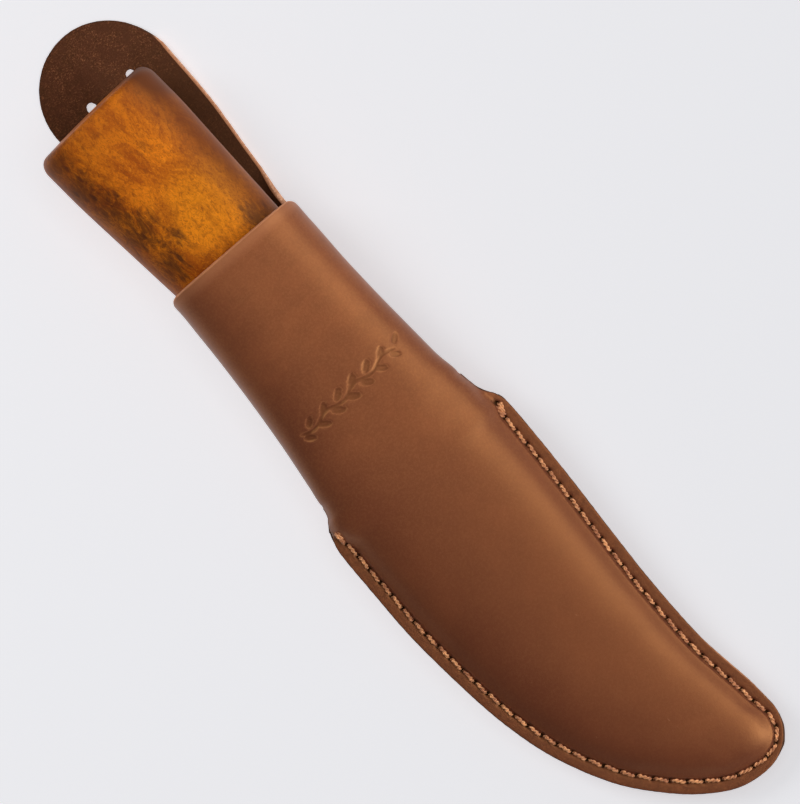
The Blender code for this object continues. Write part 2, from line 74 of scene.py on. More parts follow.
# Sizes shared with the CAD
LEATHER = 0.0022
AXIS_HEIGHT = 0.01755
SLOPE = 0.0627
KNIFE_X = -0.00075
HALF_SEAM = 0.0024
TIP_CENTRE_Y = -0.172
WING_BOTTOM_Y = -0.0643
BACKING_BOTTOM_Y = -0.0652
MOUTH_SLANT = 0.065
MOUTH_SIDE = -0.0210  # in x, where the slanted rim is level with the mouth
MOUTH_FADE = 0.012
CORNER_DROP = 0.0019  # how far the rim is rounded down at its two sides
DOME_POWER = 2.2
POUCH_FOOT_POWER = 1.75
WING_GAP = 0.0003  # between the wings and the backing under them
WINGS_APART = 0.0020  # where the two wings meet at the back
BACK_POWER = 2.6
BACK_FULLNESS = 1.05
TONGUE_RADIUS = 0.0190
TONGUE_CENTRE = (0.0070, 0.0515)
TONGUE_LEAN = 0.113
TONGUE_SIDES = (-0.0174, 0.0206)  # in x, from its middle line
TONGUE_FLATTENS = (-0.004, 0.010)
SLOT_WIDTH = 0.0027
SLOT_ENDS = [(0.0070, 0.0538), (0.0065, 0.0533)]
SLOT_BULGE = 0.00015  # how far its cut edge bulges into it
SLOT_OPEN_HALF = SLOT_WIDTH / 2 + SLOT_BULGE
SLOT_PLACES = [-0.00508, 0.00848]  # in x, from the tongue's middle line
COLLAR_ROW_OFFSET = 0.0055
COLLAR_ROW_ENDS = (-0.057, -0.007)

CREASE_POINTS = [
    (-0.0212, 0.0010), (-0.0217, -0.0110), (-0.0236, -0.0280), (-0.0262, -0.0450),
    (-0.0289, -0.0590), (-0.0300, -0.0645), (-0.0308, -0.0740), (-0.0315, -0.0900),
    (-0.0321, -0.1090), (-0.0315, -0.1290), (-0.0286, -0.1480), (-0.0225, -0.1665),
    (-0.0144, -0.1786), (-0.0027, -0.1887), (0.0048, -0.1907), (0.0092, -0.1889),
    (0.0116, -0.1846), (0.0122, -0.1775), (0.0118, -0.1680), (0.0113, -0.1570),
    (0.0129, -0.1370), (0.0157, -0.1090), (0.0178, -0.0880), (0.0196, -0.0760),
    (0.0203, -0.0690), (0.0202, -0.0635), (0.0196, -0.0560), (0.0196, -0.0400),
    (0.0199, -0.0240), (0.0206, -0.0100), (0.0206, 0.0010),
]
EDGE_POINTS = [
    (-0.0301, -0.0650), (-0.0310, -0.0680), (-0.0325, -0.0700), (-0.0337, -0.0720),
    (-0.0345, -0.0742), (-0.0353, -0.0768), (-0.0366, -0.0913), (-0.0376, -0.1085),
    (-0.0373, -0.1245), (-0.0361, -0.1400), (-0.0330, -0.1550), (-0.0268, -0.1703),
    (-0.0188, -0.1821), (-0.0111, -0.1900), (-0.0030, -0.1952), (0.0055, -0.1968),
    (0.0120, -0.1949), (0.0162, -0.1906), (0.0179, -0.1850), (0.0180, -0.1780),
    (0.0174, -0.1690), (0.0168, -0.1590), (0.0178, -0.1400), (0.0197, -0.1225),
    (0.0216, -0.1070), (0.0232, -0.0913), (0.0240, -0.0800), (0.0234, -0.0763),
    (0.0222, -0.0740), (0.0213, -0.0718), (0.0207, -0.0690), (0.0203, -0.0650),
]
# Values along the sheath, as (y, value)
MIDDLE = [(-0.172, -0.0034), (-0.150, -0.0076), (-0.130, -0.0086), (-0.107, -0.0080),
          (-0.080, -0.0062), (-0.060, -0.0048), (-0.030, -0.0020), (0.0, -0.0004)]
CROWN = [(-0.200, 0.0077), (-0.172, 0.0080), (-0.140, 0.0089), (-0.110, 0.0102),
         (-0.080, 0.0117), (-0.060, 0.0127), (-0.030, 0.0142), (0.0, 0.01505)]
BACK_LEFT = [(-0.067, -0.0306), (-0.062, -0.0285), (-0.056, -0.0250), (-0.048, -0.0222),
             (-0.030, -0.0195), (0.0, -0.0176), (0.0515, -0.0120)]
BACK_RIGHT = [(-0.067, 0.0200), (-0.062, 0.0190), (-0.056, 0.0182), (-0.040, 0.0178),
              (-0.020, 0.0190), (0.0, 0.0201), (0.0153, 0.0221), (0.031, 0.0245), (0.0515, 0.0260)]

# The knife, along its own axis
HANDLE_FRONT_Y = -0.0760
HANDLE_HALF_WIDTH = [(-0.0760, 0.0142), (-0.0700, 0.0147), (-0.0550, 0.0160), (-0.0350, 0.0169),
                     (-0.0150, 0.0174), (0.0, 0.01775), (0.0100, 0.0182), (0.0250, 0.0189),
                     (0.0400, 0.0194), (0.0510, 0.0194)]
HANDLE_HALF_HEIGHT = [(-0.0760, 0.0077), (-0.0700, 0.0080), (-0.0500, 0.0091),
                      (-0.0250, 0.0107), (0.0, 0.0122), (0.0250, 0.0128), (0.0510, 0.0130)]
HANDLE_POWER = 2.25
BUTT_Y = 0.0508
BUTT_ROUND = (0.0040, 0.0016)  # how far along the handle its end is rounded, in plan and in height
BUTT_NARROWS = (0.0030, 0.0014)  # by how much, in half width and in half height
FRONT_ROUND = 0.0012
SPINE = [(-0.1800, 0.0049), (-0.1720, 0.0054), (-0.1500, 0.0072), (-0.1350, 0.0087),
         (-0.1180, 0.0102), (-0.1000, 0.0112), (-0.0840, 0.0116), (-0.0763, 0.0115)]
EDGE = [(-0.1800, 0.0046), (-0.1780, 0.0020), (-0.1720, -0.0038), (-0.1630, -0.0086),
        (-0.1500, -0.0128), (-0.1350, -0.0154), (-0.1180, -0.0164), (-0.1000, -0.0164),
        (-0.0840, -0.0156), (-0.0763, -0.0145)]
BLADE_THICKNESS = [(-0.1800, 0.0010), (-0.1700, 0.0022), (-0.1500, 0.0033), (-0.1300, 0.0036),
                   (-0.0763, 0.0036)]
TANG_HALF = (0.0040, 0.0016)
TANG_TOP_Y = 0.0140

# Fine detail
EDGE_ROUND = 0.0006  # how far a cut edge bulges past the face's border
RIM_ROUND = 0.0009  # the same at the mouth
RIM_POWER = 0.6  # below 1, a cut edge is squarer than a half circle
EAR_Y = -0.0655  # where the pouch's flange begins
STITCH_PITCH = 0.00455
STITCH_INSET = 0.0034  # from the edge
INSET_LOST = (0.0017, 0.0013)  # how much less it is round the tip, and at the row's two ends
TIP_STITCH = (0.0130, -0.1925)
FIRST_HOLE_Y = -0.0721
LAST_HOLE_Y = -0.0778
GROOVE_DEPTH = 0.00040
GROOVE_WIDTH = 0.0010
HOLE_DEPTH = 0.0011
HOLE_WIDTH = 0.00058
PRESS_DEPTH = 0.00040
PRESS_PLACE = (-0.0040, -0.0486)
STRAND_RADIUS = 0.00030
STRAND_OFFSET = 0.00025  # of each of the rope's two strands, from its middle
TWIST = 0.0026  # the length of one full turn

# How the meshes are laid out
FLANGE_STOPS = np.arange(1, 21) / 20
WALL_STEPS = 4  # rows down the collar's upright side
FOLD_REACH = 10  # columns on each side of a fold that are rounded with it
SLOT_COLUMNS = 6  # faces across a belt slot
ROPE_SIDES = 7

# What is kept for each point of a leather panel: its place along and across the nearest stitch
# row, how deeply it is tooled, how much it is a cut edge, how raw that edge is, and how far inside
MARKS = ("along", "across", "tooled", "edge", "raw", "inside")
FAR = 0.02
PLAIN = (0.5, FAR, 0.0)  # the first three marks, away from stitches and tooling


def curve_value(knots, at):
    """A smooth curve through (place, value) knots, read at one or many places."""
    place, value = np.array(knots).T
    secant = np.diff(value) / np.diff(place)
    before, after = np.append(secant[0], secant), np.append(secant, secant[-1])
    most = 2 * np.minimum(np.abs(before), np.abs(after)) * (before * after > 0)
    slope = np.clip((before + after) / 2, -most, most)
    at = np.clip(np.asarray(at, float), place[0], place[-1])
    i = np.clip(np.searchsorted(place, at) - 1, 0, len(place) - 2)
    span = place[i + 1] - place[i]
    t = (at - place[i]) / span
    ease = t * t * (3 - 2 * t)
    rise = slope[i] * span * t * (1 - t) ** 2 - slope[i + 1] * span * t * t * (1 - t)
    return value[i] * (1 - ease) + value[i + 1] * ease + rise


def smooth_line(points, steps=24):
    """A smooth outline through a few points."""
    count = len(points)
    at = np.linspace(0, count - 1, (count - 1) * steps + 1)
    axes = [curve_value(list(enumerate(axis)), at) for axis in np.array(points).T]
    return np.stack(axes, axis=1)


def axis_z(y):
    return AXIS_HEIGHT + SLOPE * np.asarray(y, float)


def dome_rise(s, power):
    """How far a dome has risen, 0 to 1, on the way from its foot (0) to its middle (1)."""
    return (1 - (1 - np.clip(s, 0, 1)) ** power) ** (1 / power)


def blend(low, high, value):
    """0 up to low, 1 from high on, and smooth between them."""
    t = np.clip((value - low) / (high - low), 0, 1)
    return t * t * (3 - 2 * t)


def bell(distance, width):
    """1 at no distance, falling smoothly to nothing at about twice the width."""
    return np.exp(-((distance / width) ** 2))


def lengths_along(points):
    """How far along the line each of its points lies."""
    return np.append(0, np.cumsum(np.linalg.norm(np.diff(points, axis=0), axis=1)))


def unit(vectors):
    return vectors / np.maximum(np.linalg.norm(vectors, axis=1, keepdims=True), 1e-12)


def on_right(edge):
    """Which ribs lie on the right, past the lowest point of the edge."""
    return np.arange(len(edge)) > np.argmin(edge[:, 1])


def grain(points, scale, seed=0.0):
    """Smooth noise from -1 to 1 at each point."""
    shift = Vector((seed, seed * 1.7, seed * 0.3))
    return np.array([noise.noise(Vector(point) * scale + shift) for point in points])


# Ribs: lines from the middle of the sheath out to its crease and edge

def tip_centre():
    return np.array([curve_value(MIDDLE, TIP_CENTRE_Y), TIP_CENTRE_Y])


def line_points(line, rows, fan_angles):
    """Where the ribs of the left rows, the tip's fan and the right rows meet this outline."""
    turn = int(np.argmin(line[:, 1]))
    left, right = line[: turn + 1][::-1], line[turn:]
    below = line[line[:, 1] <= TIP_CENTRE_Y + 0.004] - tip_centre()
    angle = np.unwrap(np.arctan2(below[:, 1], below[:, 0]))
    angle += 2 * math.pi * round((-math.pi / 2 - angle.mean()) / (2 * math.pi))
    reach = np.interp(fan_angles, angle, np.hypot(below[:, 0], below[:, 1]))
    around = np.stack([np.cos(fan_angles), np.sin(fan_angles)], axis=1) * reach[:, None]
    on_left = np.stack([np.interp(rows, left[:, 1], left[:, 0]), rows], axis=1)
    on_right = np.stack([np.interp(rows, right[:, 1], right[:, 0]), rows], axis=1)
    return np.concatenate([on_left, around + tip_centre(), on_right[::-1]])


def rib_lines(rows, fans):
    """For each rib: its start at the middle, and where it meets the crease and the edge."""
    rows = np.asarray(rows, float)
    angles = np.linspace(-math.pi, 0, fans + 2)[1:-1]
    crease = line_points(smooth_line(CREASE_POINTS), rows, angles)
    edge = line_points(smooth_line(EDGE_POINTS), rows, angles)
    on_rows = np.stack([curve_value(MIDDLE, rows), rows], axis=1)
    middle = np.concatenate([on_rows, np.tile(tip_centre(), (fans, 1)), on_rows[::-1]])
    return middle, crease, edge


def spaced(*stops):
    """Places from the first stop down to the last, each stop with the step that follows it."""
    places = []
    for (start, step), (end, _) in zip(stops, stops[1:]):
        count = max(2, round(abs(end - start) / step))
        places += list(np.linspace(start, end, count, endpoint=False))
    return places + [stops[-1][0]]


def arc_steps(count, power):
    """Places from the middle (1) to the crease (0), evenly spaced along the dome."""
    turn = np.linspace(0, math.pi / 2, count + 1)
    return 1 - np.sin(turn) ** (2 / power)


def dome_rows(middle, crease, s, height):
    """Points from the middle of each rib to its crease, at the heights that height(y, s) gives."""
    flat = crease[:, None] * (1 - s)[None, :, None] + middle[:, None] * s[None, :, None]
    z = height(flat[..., 1], np.broadcast_to(s, flat.shape[:2]))
    return np.concatenate([flat, z[..., None]], axis=2)


def front_height(y, s):
    """The dome; its foot is gentler over the pouch, where the leather is drawn to the seam."""
    rise = curve_value(CROWN, y) - HALF_SEAM
    foot = 1 / DOME_POWER + (1 / POUCH_FOOT_POWER - 1 / DOME_POWER) * blend(-0.058, -0.075, y)
    return axis_z(y) + HALF_SEAM + rise * (1 - (1 - np.clip(s, 0, 1)) ** DOME_POWER) ** foot


def wing_height(y, s):
    """The collar's wing, which wraps down round the handle to the backing."""
    start = axis_z(y) - HALF_SEAM
    return start - (start - LEATHER - WING_GAP) * dome_rise(s, DOME_POWER)


def back_height(y, s):
    """The back panel, which sags to the floor."""
    start = axis_z(y) - HALF_SEAM
    return np.maximum(start - start * BACK_FULLNESS * dome_rise(s, BACK_POWER), 0.0)


def at_ears(y):
    """1 where the pouch's flange begins at both ears, fading to 0 away from there."""
    return bell(y - EAR_Y, 0.005)


def edge_bulge(y):
    """How far the cut edge stands out past the face, which is least where the ears begin."""
    return EDGE_ROUND * (1 - 0.75 * at_ears(y))


def inside_edge(crease, edge):
    """For each rib: its direction inwards, the stitches' distance from the edge, and its slant."""
    y = edge[:, 1]
    from_tip = np.hypot(edge[:, 0] - TIP_STITCH[0], y - TIP_STITCH[1])
    near_end = np.where(on_right(edge), blend(-0.0820, -0.0775, y), blend(-0.0800, -0.0715, y))
    inset = STITCH_INSET - INSET_LOST[0] * bell(from_tip, 0.0075) - INSET_LOST[1] * near_end
    inwards, tangent = unit(crease - edge), unit(np.gradient(edge, axis=0))
    square = np.abs(inwards[:, 0] * tangent[:, 1] - inwards[:, 1] * tangent[:, 0])
    return inwards, inset, np.maximum(square, 0.5)


def drawn_to_seam(crease, edge):
    """The foot of the pouch's wall: it starts from the edge at the ears, then follows the stitches."""
    inwards, inset, square = inside_edge(crease, edge)
    share = blend(-0.0690, -0.0800, edge[:, 1])
    at_ear, past_stitches = 0.00025, 0.00125
    distance = at_ear + (inset + past_stitches - at_ear) * share
    return edge + inwards * (distance / square)[:, None]


def stitch_line(crease, edge):
    """The stitch row on each rib, how many stitches along it lies, how many there are, and the
    rib's slant."""
    right = on_right(edge)
    inwards, inset, square = inside_edge(crease, edge)
    path = edge + inwards * (inset / square)[:, None]
    length = lengths_along(path)
    first = np.interp(-FIRST_HOLE_Y, -path[~right, 1], length[~right])
    last = np.interp(-LAST_HOLE_Y, -path[right, 1][::-1], length[right][::-1])
    stitches = round((last - first) / STITCH_PITCH)
    return path, (length - first) / (last - first) * stitches, stitches, square


def flange_rows(crease, edge, level):
    """Points over the flange, how far the stitches sink them, and their marks."""
    width = np.linalg.norm(edge - crease, axis=1)
    border = edge - (edge - crease) * np.minimum(edge_bulge(edge[:, 1]) / width, 0.6)[:, None]
    path, along, stitches, square = stitch_line(crease, edge)
    flat = crease[:, None] + (border - crease)[:, None] * FLANGE_STOPS[None, :, None]
    across = np.linalg.norm(flat - crease[:, None], axis=2)
    across = (across - np.linalg.norm(path - crease, axis=1)[:, None]) * square[:, None]
    along = np.broadcast_to(along[:, None], across.shape)
    z = axis_z(flat[..., 1]) + level
    sunk = -math.copysign(1, level) * stitch_relief(along, across, stitches)
    in_row = (along > -0.4) & (along < stitches + 0.4)
    marks = np.stack([along, np.where(in_row, across, FAR), 0 * across], axis=2)
    return np.concatenate([flat, z[..., None]], axis=2), sunk, marks


def stitch_relief(along, across, stitches):
    """How deep the groove and the holes of a stitch row are."""
    in_row = blend(-0.5, 0.0, along) * blend(stitches + 0.5, stitches, along)
    nearest = (along - np.round(along)) * STITCH_PITCH
    hole = HOLE_DEPTH * bell(np.hypot(nearest, across), HOLE_WIDTH)
    ridge_height, ridge_width = 0.00007, 0.00042
    ridges = ridge_height * np.sin(across / ridge_width * math.pi) * bell(across + 0.0011, 0.0008)
    return in_row * (GROOVE_DEPTH * bell(across + 0.0002, GROOVE_WIDTH) + hole + ridges)


def soften(ribs, column):
    """Rounds each rib's fold at this column."""
    part = ribs[:, column - FOLD_REACH: column + FOLD_REACH + 1]
    for _ in range(3):
        part[:, 1:-1] = (part[:, :-2] + 2 * part[:, 1:-1] + part[:, 2:]) / 4


def eased(run, values, spread, mirrored):
    """The values evened out along their run by a bell this wide; mirrored ones start level."""
    step, side = 0.00025, 24
    even = np.arange(0, run[-1] + step, step)
    line = np.interp(even, run, values)
    kernel = bell(np.arange(-side, side + 1) * step, spread * math.sqrt(2))
    before, after = line[1: side + 1][::-1], 2 * line[-1] - line[-side - 1: -1][::-1]
    padded = np.concatenate([before if mirrored else 2 * line[0] - before, line, after])
    return np.interp(run, even, np.convolve(padded, kernel / kernel.sum(), mode="valid"))


def ease_ribs(ribs, spread):
    """Rounds each rib in all three axes, where it turns down and round the handle."""
    for rib, wide in zip(ribs, spread):
        run = lengths_along(rib)
        for axis in range(3):
            rib[:, axis] = eased(run, rib[:, axis], wide, axis == 2)


def ease_heights(ribs, spread):
    """Rounds each rib in height only, so that it keeps its outline."""
    for rib, wide in zip(ribs, spread):
        rib[:, 2] = eased(lengths_along(rib[:, :2]), rib[:, 2], wide, True)


def row_heights(ribs, crease, edge, column):
    """The leather's height under the stitch row on each rib, with the rib's place along the row."""
    path, along, _, _ = stitch_line(crease, edge)
    heights = []
    for rib, foot, outer, place in zip(ribs, crease, edge, path):
        run = lengths_along(rib[:, :2])
        outward = (outer - foot) / np.linalg.norm(outer - foot)
        heights.append(np.interp(run[column] + np.dot(place - foot, outward), run, rib[:, 2]))
    return along, np.array(heights)


def joined_at_middle(ribs, s):
    """Brings the ribs of both sides to one height where they start."""
    start = ribs[:, 0, 2]
    even = (start + start[::-1]) / 2
    fan = np.all(np.abs(ribs[:, 0, :2] - tip_centre()) < 1e-9, axis=1)
    even[fan] = start[fan].mean()
    ribs[:, : len(s), 2] += (even - start)[:, None] * blend(0.4, 1.0, s)[None, :]


# Leather panels

class Sheet:
    """The outer face of a leather panel: strips of points, welded where they meet."""

    def __init__(self):
        self.points, self.marks, self.quads = [], [], []
        self.count = 0

    def add(self, strip, marks=None, facing_up=True):
        rows, columns = strip.shape[:2]
        index = self.count + np.arange(rows * columns).reshape(rows, columns)
        corners = [index[:-1, :-1], index[:-1, 1:], index[1:, 1:], index[1:, :-1]]
        quads = np.stack(corners if facing_up else corners[::-1], axis=-1)
        self.points.append(strip.reshape(-1, 3))
        if marks is None:
            marks = np.tile(PLAIN, (rows * columns, 1))
        self.marks.append(marks.reshape(-1, 3))
        self.quads.append(quads.reshape(-1, 4))
        self.count += rows * columns
        return index

    def welded(self):
        points, marks = np.concatenate(self.points), np.concatenate(self.marks)
        _, first, index = np.unique(np.round(points / 2e-6).astype(np.int64), axis=0,
                                    return_index=True, return_inverse=True)
        quads = index.reshape(-1)[np.concatenate(self.quads)]
        across = np.full(len(first), FAR)
        np.minimum.at(across, index.reshape(-1), np.abs(marks[:, 1]))
        marks = marks[first]
        marks[:, 1] = across
        distinct = [len(set(quad)) > 2 for quad in quads.tolist()]
        return points[first], marks, quads[distinct]


def normals_of(points, quads):
    """The sheet's normal at each point."""
    a, b, c, d = (points[quads[:, k]] for k in range(4))
    face = np.cross(c - a, d - b)
    total = np.zeros_like(points)
    for k in range(4):
        np.add.at(total, quads[:, k], face)
    return unit(total)


def border_loops(quads):
    """The sheet's borders, each as point numbers in the order that its faces run."""
    ends = np.concatenate([quads[:, [k, (k + 1) % 4]] for k in range(4)])
    ends = ends[ends[:, 0] != ends[:, 1]]
    pairs = set(map(tuple, ends.tolist()))
    after = {a: b for a, b in pairs if (b, a) not in pairs}
    loops = []
    while after:
        loop = [next(iter(sorted(after)))]
        while loop[-1] in after:
            loop.append(after.pop(loop[-1]))
        loops.append(np.array(loop[:-1]))
    return loops


def all_marks(marks, edge, raw, inside):
    """A column for each of MARKS; the last three may each be one number for all points."""
    rest = [np.broadcast_to(mark, len(marks)) for mark in (edge, raw, inside)]
    return np.column_stack([marks] + rest)


def leather_panel(name, sheet, rim, keep_share, material, node, slot):
    """Closes a sheet into leather; rim gives the cut edge's bulge, its rawness and its strength."""
    points, marks, quads = sheet.welded()
    normals = normals_of(points, quads)
    count = len(points)
    point_sets = [points, points - normals * LEATHER]
    mark_sets = [all_marks(marks, 0, 0, 0), all_marks(np.tile(PLAIN, (count, 1)), 0, 0, 1)]
    faces = quads.tolist() + (quads[:, ::-1] + count).tolist()
    start = 2 * count
    for loop in border_loops(quads):
        corner, out = points[loop], normals[loop]
        plain = np.tile(PLAIN, (len(loop), 1))
        aside = unit(np.cross(np.roll(corner, -1, axis=0) - np.roll(corner, 1, axis=0), out))
        bulge, raw, strength = rim(corner)
        rings = [loop]
        for turn in np.linspace(0, math.pi, 9)[1:-1]:
            cosine, sine = math.cos(turn), math.sin(turn)
            depth = LEATHER / 2 * (1 - math.copysign(abs(cosine) ** RIM_POWER, cosine))
            ring = corner - out * depth + aside * (bulge * sine**RIM_POWER)[:, None]
            fibre = grain(ring, 900, 3.0) * 0.00009 * sine
            point_sets.append(ring + aside * fibre[:, None])
            mark_sets.append(all_marks(plain, strength * sine**RIM_POWER, raw, (1 - cosine) / 2))
            rings.append(np.arange(start, start + len(loop)))
            start += len(loop)
        rings.append(loop + count)
        for ring, below in zip(rings, rings[1:]):
            quad = [np.roll(ring, -1), ring, below, np.roll(below, -1)]
            faces += np.stack(quad, axis=1).tolist()
    faces = [list(dict.fromkeys(face)) for face in faces]
    piece = new_piece(name, np.concatenate(point_sets), faces, material, "sheath", slot, node)
    for mark, values in zip(MARKS, np.concatenate(mark_sets).T):
        attribute = piece.data.attributes.new(mark, "FLOAT", "POINT")
        attribute.data.foreach_set("value", values.astype(np.float32))
    thin_out(piece, range(count, 2 * count), keep_share)


def thin_out(piece, hidden, share):
    """Takes detail off the hidden inner face, which needs less."""
    group = piece.vertex_groups.new(name="hidden")
    group.add(list(hidden), 1.0, "REPLACE")
    decimate = piece.modifiers.new("thin_out", "DECIMATE")
    decimate.ratio = share
    decimate.vertex_group = "hidden"
    apply_modifiers(piece)
    piece.vertex_groups.clear()


def apply_modifiers(piece):
    bpy.context.view_layer.update()
    graph = bpy.context.evaluated_depsgraph_get()
    piece.data = bpy.data.meshes.new_from_object(piece.evaluated_get(graph), depsgraph=graph)
    piece.modifiers.clear()


def new_piece(name, points, faces, material, body, slot, node, sharp=50):
    mesh = bpy.data.meshes.new(name)
    mesh.from_pydata((points + MOUTH).tolist(), [], faces)
    mesh.validate()
    mesh.shade_smooth()
    mesh.set_sharp_from_angle(angle=math.radians(sharp))
    mesh.materials.append(material)
    piece = bpy.data.objects.new(name, mesh)
    bpy.context.scene.collection.objects.link(piece)
    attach(piece, body)
    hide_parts(node)
    return piece


def pressed(x, y):
    """Depth, 0 to 1, of the tooled sprig: a waved stem with leaves on both sides of it."""
    u, v = x - PRESS_PLACE[0], y - PRESS_PLACE[1]
    half_length, pitch = 0.0175, 0.0052
    leaf_lean, from_stem = math.radians(38), 0.0019
    leaf_half_length, leaf_half_width, soft = 0.0021, 0.00095, 0.00025
    wave = 0.0007 * np.sin(u * math.pi / pitch)
    depth = bell(v - wave, 0.00042) * blend(half_length, half_length - 0.002, np.abs(u))
    for k in range(-3, 4):
        size = 1.0 - 0.07 * abs(k)
        long = leaf_half_length * size
        for side in (-1, 1):
            lean = leaf_lean * side
            du = u - (k * pitch + side * 0.0013) - from_stem * math.cos(lean)
            dv = v - side * 0.0004 - from_stem * math.sin(lean)
            p = du * math.cos(lean) + dv * math.sin(lean)
            q = -du * math.sin(lean) + dv * math.cos(lean)
            wide = leaf_half_width * size * np.sqrt(np.clip(1 - (p / long) ** 2, 0, 1))
            leaf = blend(soft, -soft, np.abs(q) - wide) * (np.abs(p) < long + 0.0002 * size)
            vein = 0.55 * bell(q, 0.00022) * leaf
            depth = np.maximum(depth, leaf - vein)
    return depth


def slanted(points):
    """The mouth's rim runs down towards +X, and is rounded off at both sides."""
    x, y = points[..., 0], points[..., 1]
    fade = blend(-MOUTH_FADE, 0.0, y)
    middle = curve_value(MIDDLE, y)
    widest = np.abs(x - middle).max(axis=1, keepdims=True)
    aside = np.clip((np.abs(x - middle) / widest - 0.90) / 0.10, 0, 1)
    drop = CORNER_DROP * (1 - np.sqrt(1 - aside**2))
    points[..., 1] = y - (MOUTH_SLANT * (x - MOUTH_SIDE) + drop) * fade
    points[..., 0] = x + 0.00045 * bell(y + 0.002, 0.006) + (x - middle) * 0.004 * bell(y, 0.004)
    return points


def front_leather(material):
    """Makes the front panel, and gives the height of its face along the stitch row."""
    collar = spaced((0.001 - RIM_ROUND, 0.0005), (-0.0080, 0.0011), (-0.0425, 0.00035),
                    (-0.0545, 0.0008), (-0.0610, 0.0005), (WING_BOTTOM_Y, 0))
    pouch = spaced((BACKING_BOTTOM_Y, 0.0005), (-0.0780, 0.00060), (TIP_CENTRE_Y, 0))
    rows = collar + pouch
    middle, crease, edge = rib_lines(rows, 124)
    in_pouch = (edge[:, 1] < WING_BOTTOM_Y - 1e-6)[:, None]
    crease = np.where(in_pouch, drawn_to_seam(crease, edge), crease)
    total, first = len(crease), len(collar)
    collar_left, pouch_ribs, collar_right = (slice(0, first), slice(first, total - first),
                                             slice(total - first, total))
    columns = 62
    s = arc_steps(columns, DOME_POWER)
    dome = dome_rows(middle, crease, s, front_height)
    ribs = np.concatenate([dome, np.zeros((total, len(FLANGE_STOPS), 3))], axis=1)
    outer = ribs[:, columns + 1:]
    marks = np.tile(PLAIN, ribs.shape[:2] + (1,))
    flange, sunk, flange_marks = flange_rows(crease[pouch_ribs], edge[pouch_ribs], HALF_SEAM)
    outer[pouch_ribs] = flange
    marks[pouch_ribs, columns + 1:] = flange_marks
    for side in (collar_left, collar_right):
        inwards = crease[side] - middle[side]
        parting = middle[side] + inwards * WINGS_APART / 2 / np.abs(inwards[:, :1])
        wing_s = arc_steps(len(FLANGE_STOPS) - WALL_STEPS, DOME_POWER)[::-1][1:]
        outer[side, WALL_STEPS:] = dome_rows(parting, crease[side], wing_s, wing_height)
        down = np.arange(1, WALL_STEPS + 1) / WALL_STEPS * 2 * HALF_SEAM
        outer[side, :WALL_STEPS] = dome[side, columns][:, None] - down[None, :, None] * (0, 0, 1)
        ease_ribs(ribs[side], 0.0005 + 0.0008 * blend(WING_BOTTOM_Y, -0.0560, crease[side, 1]))
    ease_heights(ribs[pouch_ribs], 0.0005 + 0.0011 * blend(-0.068, -0.082, edge[pouch_ribs, 1]))
    joined_at_middle(ribs, s)
    row = row_heights(ribs[pouch_ribs], crease[pouch_ribs], edge[pouch_ribs], columns)
    ribs[pouch_ribs, columns + 1:, 2] += sunk
    # Moulded leather is never quite even
    ribs[..., 2] += 0.00012 * grain(ribs.reshape(-1, 3), 90, 5.0).reshape(ribs.shape[:2])
    on_top = np.arange(ribs.shape[1]) <= columns
    depth = pressed(ribs[..., 0], ribs[..., 1]) * on_top
    ribs[..., 2] -= PRESS_DEPTH * depth
    marks[..., 2] = depth
    ribs = slanted(ribs)
    sheet = Sheet()
    sheet.add(ribs[:, : columns + 1], marks[:, : columns + 1])
    for part in (collar_left, pouch_ribs, collar_right):
        sheet.add(ribs[part, columns:], marks[part, columns:])

    def rim(points):
        at_mouth = blend(-0.008, -0.002, points[:, 1])
        bulge = edge_bulge(points[:, 1])
        by_tip = bell(np.hypot(points[:, 0] - 0.019, points[:, 1] + 0.170), 0.022)
        raw = np.maximum(0.5 * at_mouth, 0.42 * by_tip)
        strength = (1 - 0.85 * at_mouth) * (1 - at_ears(points[:, 1]))
        return bulge + (RIM_ROUND - bulge) * at_mouth, raw, strength

    leather_panel("front_leather", sheet, rim, 0.62, material, "sheath_front", "leather_grain")
    return row


def columns_before_slot(half):
    return round((half - SLOT_COLUMNS) * 0.35)


def tongue_columns(half):
    """Offsets from the tongue's middle line on each side, with the belt slots between columns."""
    halves = []
    before = columns_before_slot(half)
    after = half - SLOT_COLUMNS - before
    for place, reach in zip(SLOT_PLACES, TONGUE_SIDES):
        low, high = abs(place) - SLOT_OPEN_HALF, abs(place) + SLOT_OPEN_HALF
        parts = [np.linspace(0, low, before + 1), np.linspace(low, high, SLOT_COLUMNS + 1)[1:],
                 np.linspace(high, abs(reach), after + 1)[1:]]
        halves.append(math.copysign(1, reach) * np.concatenate(parts))
    return halves


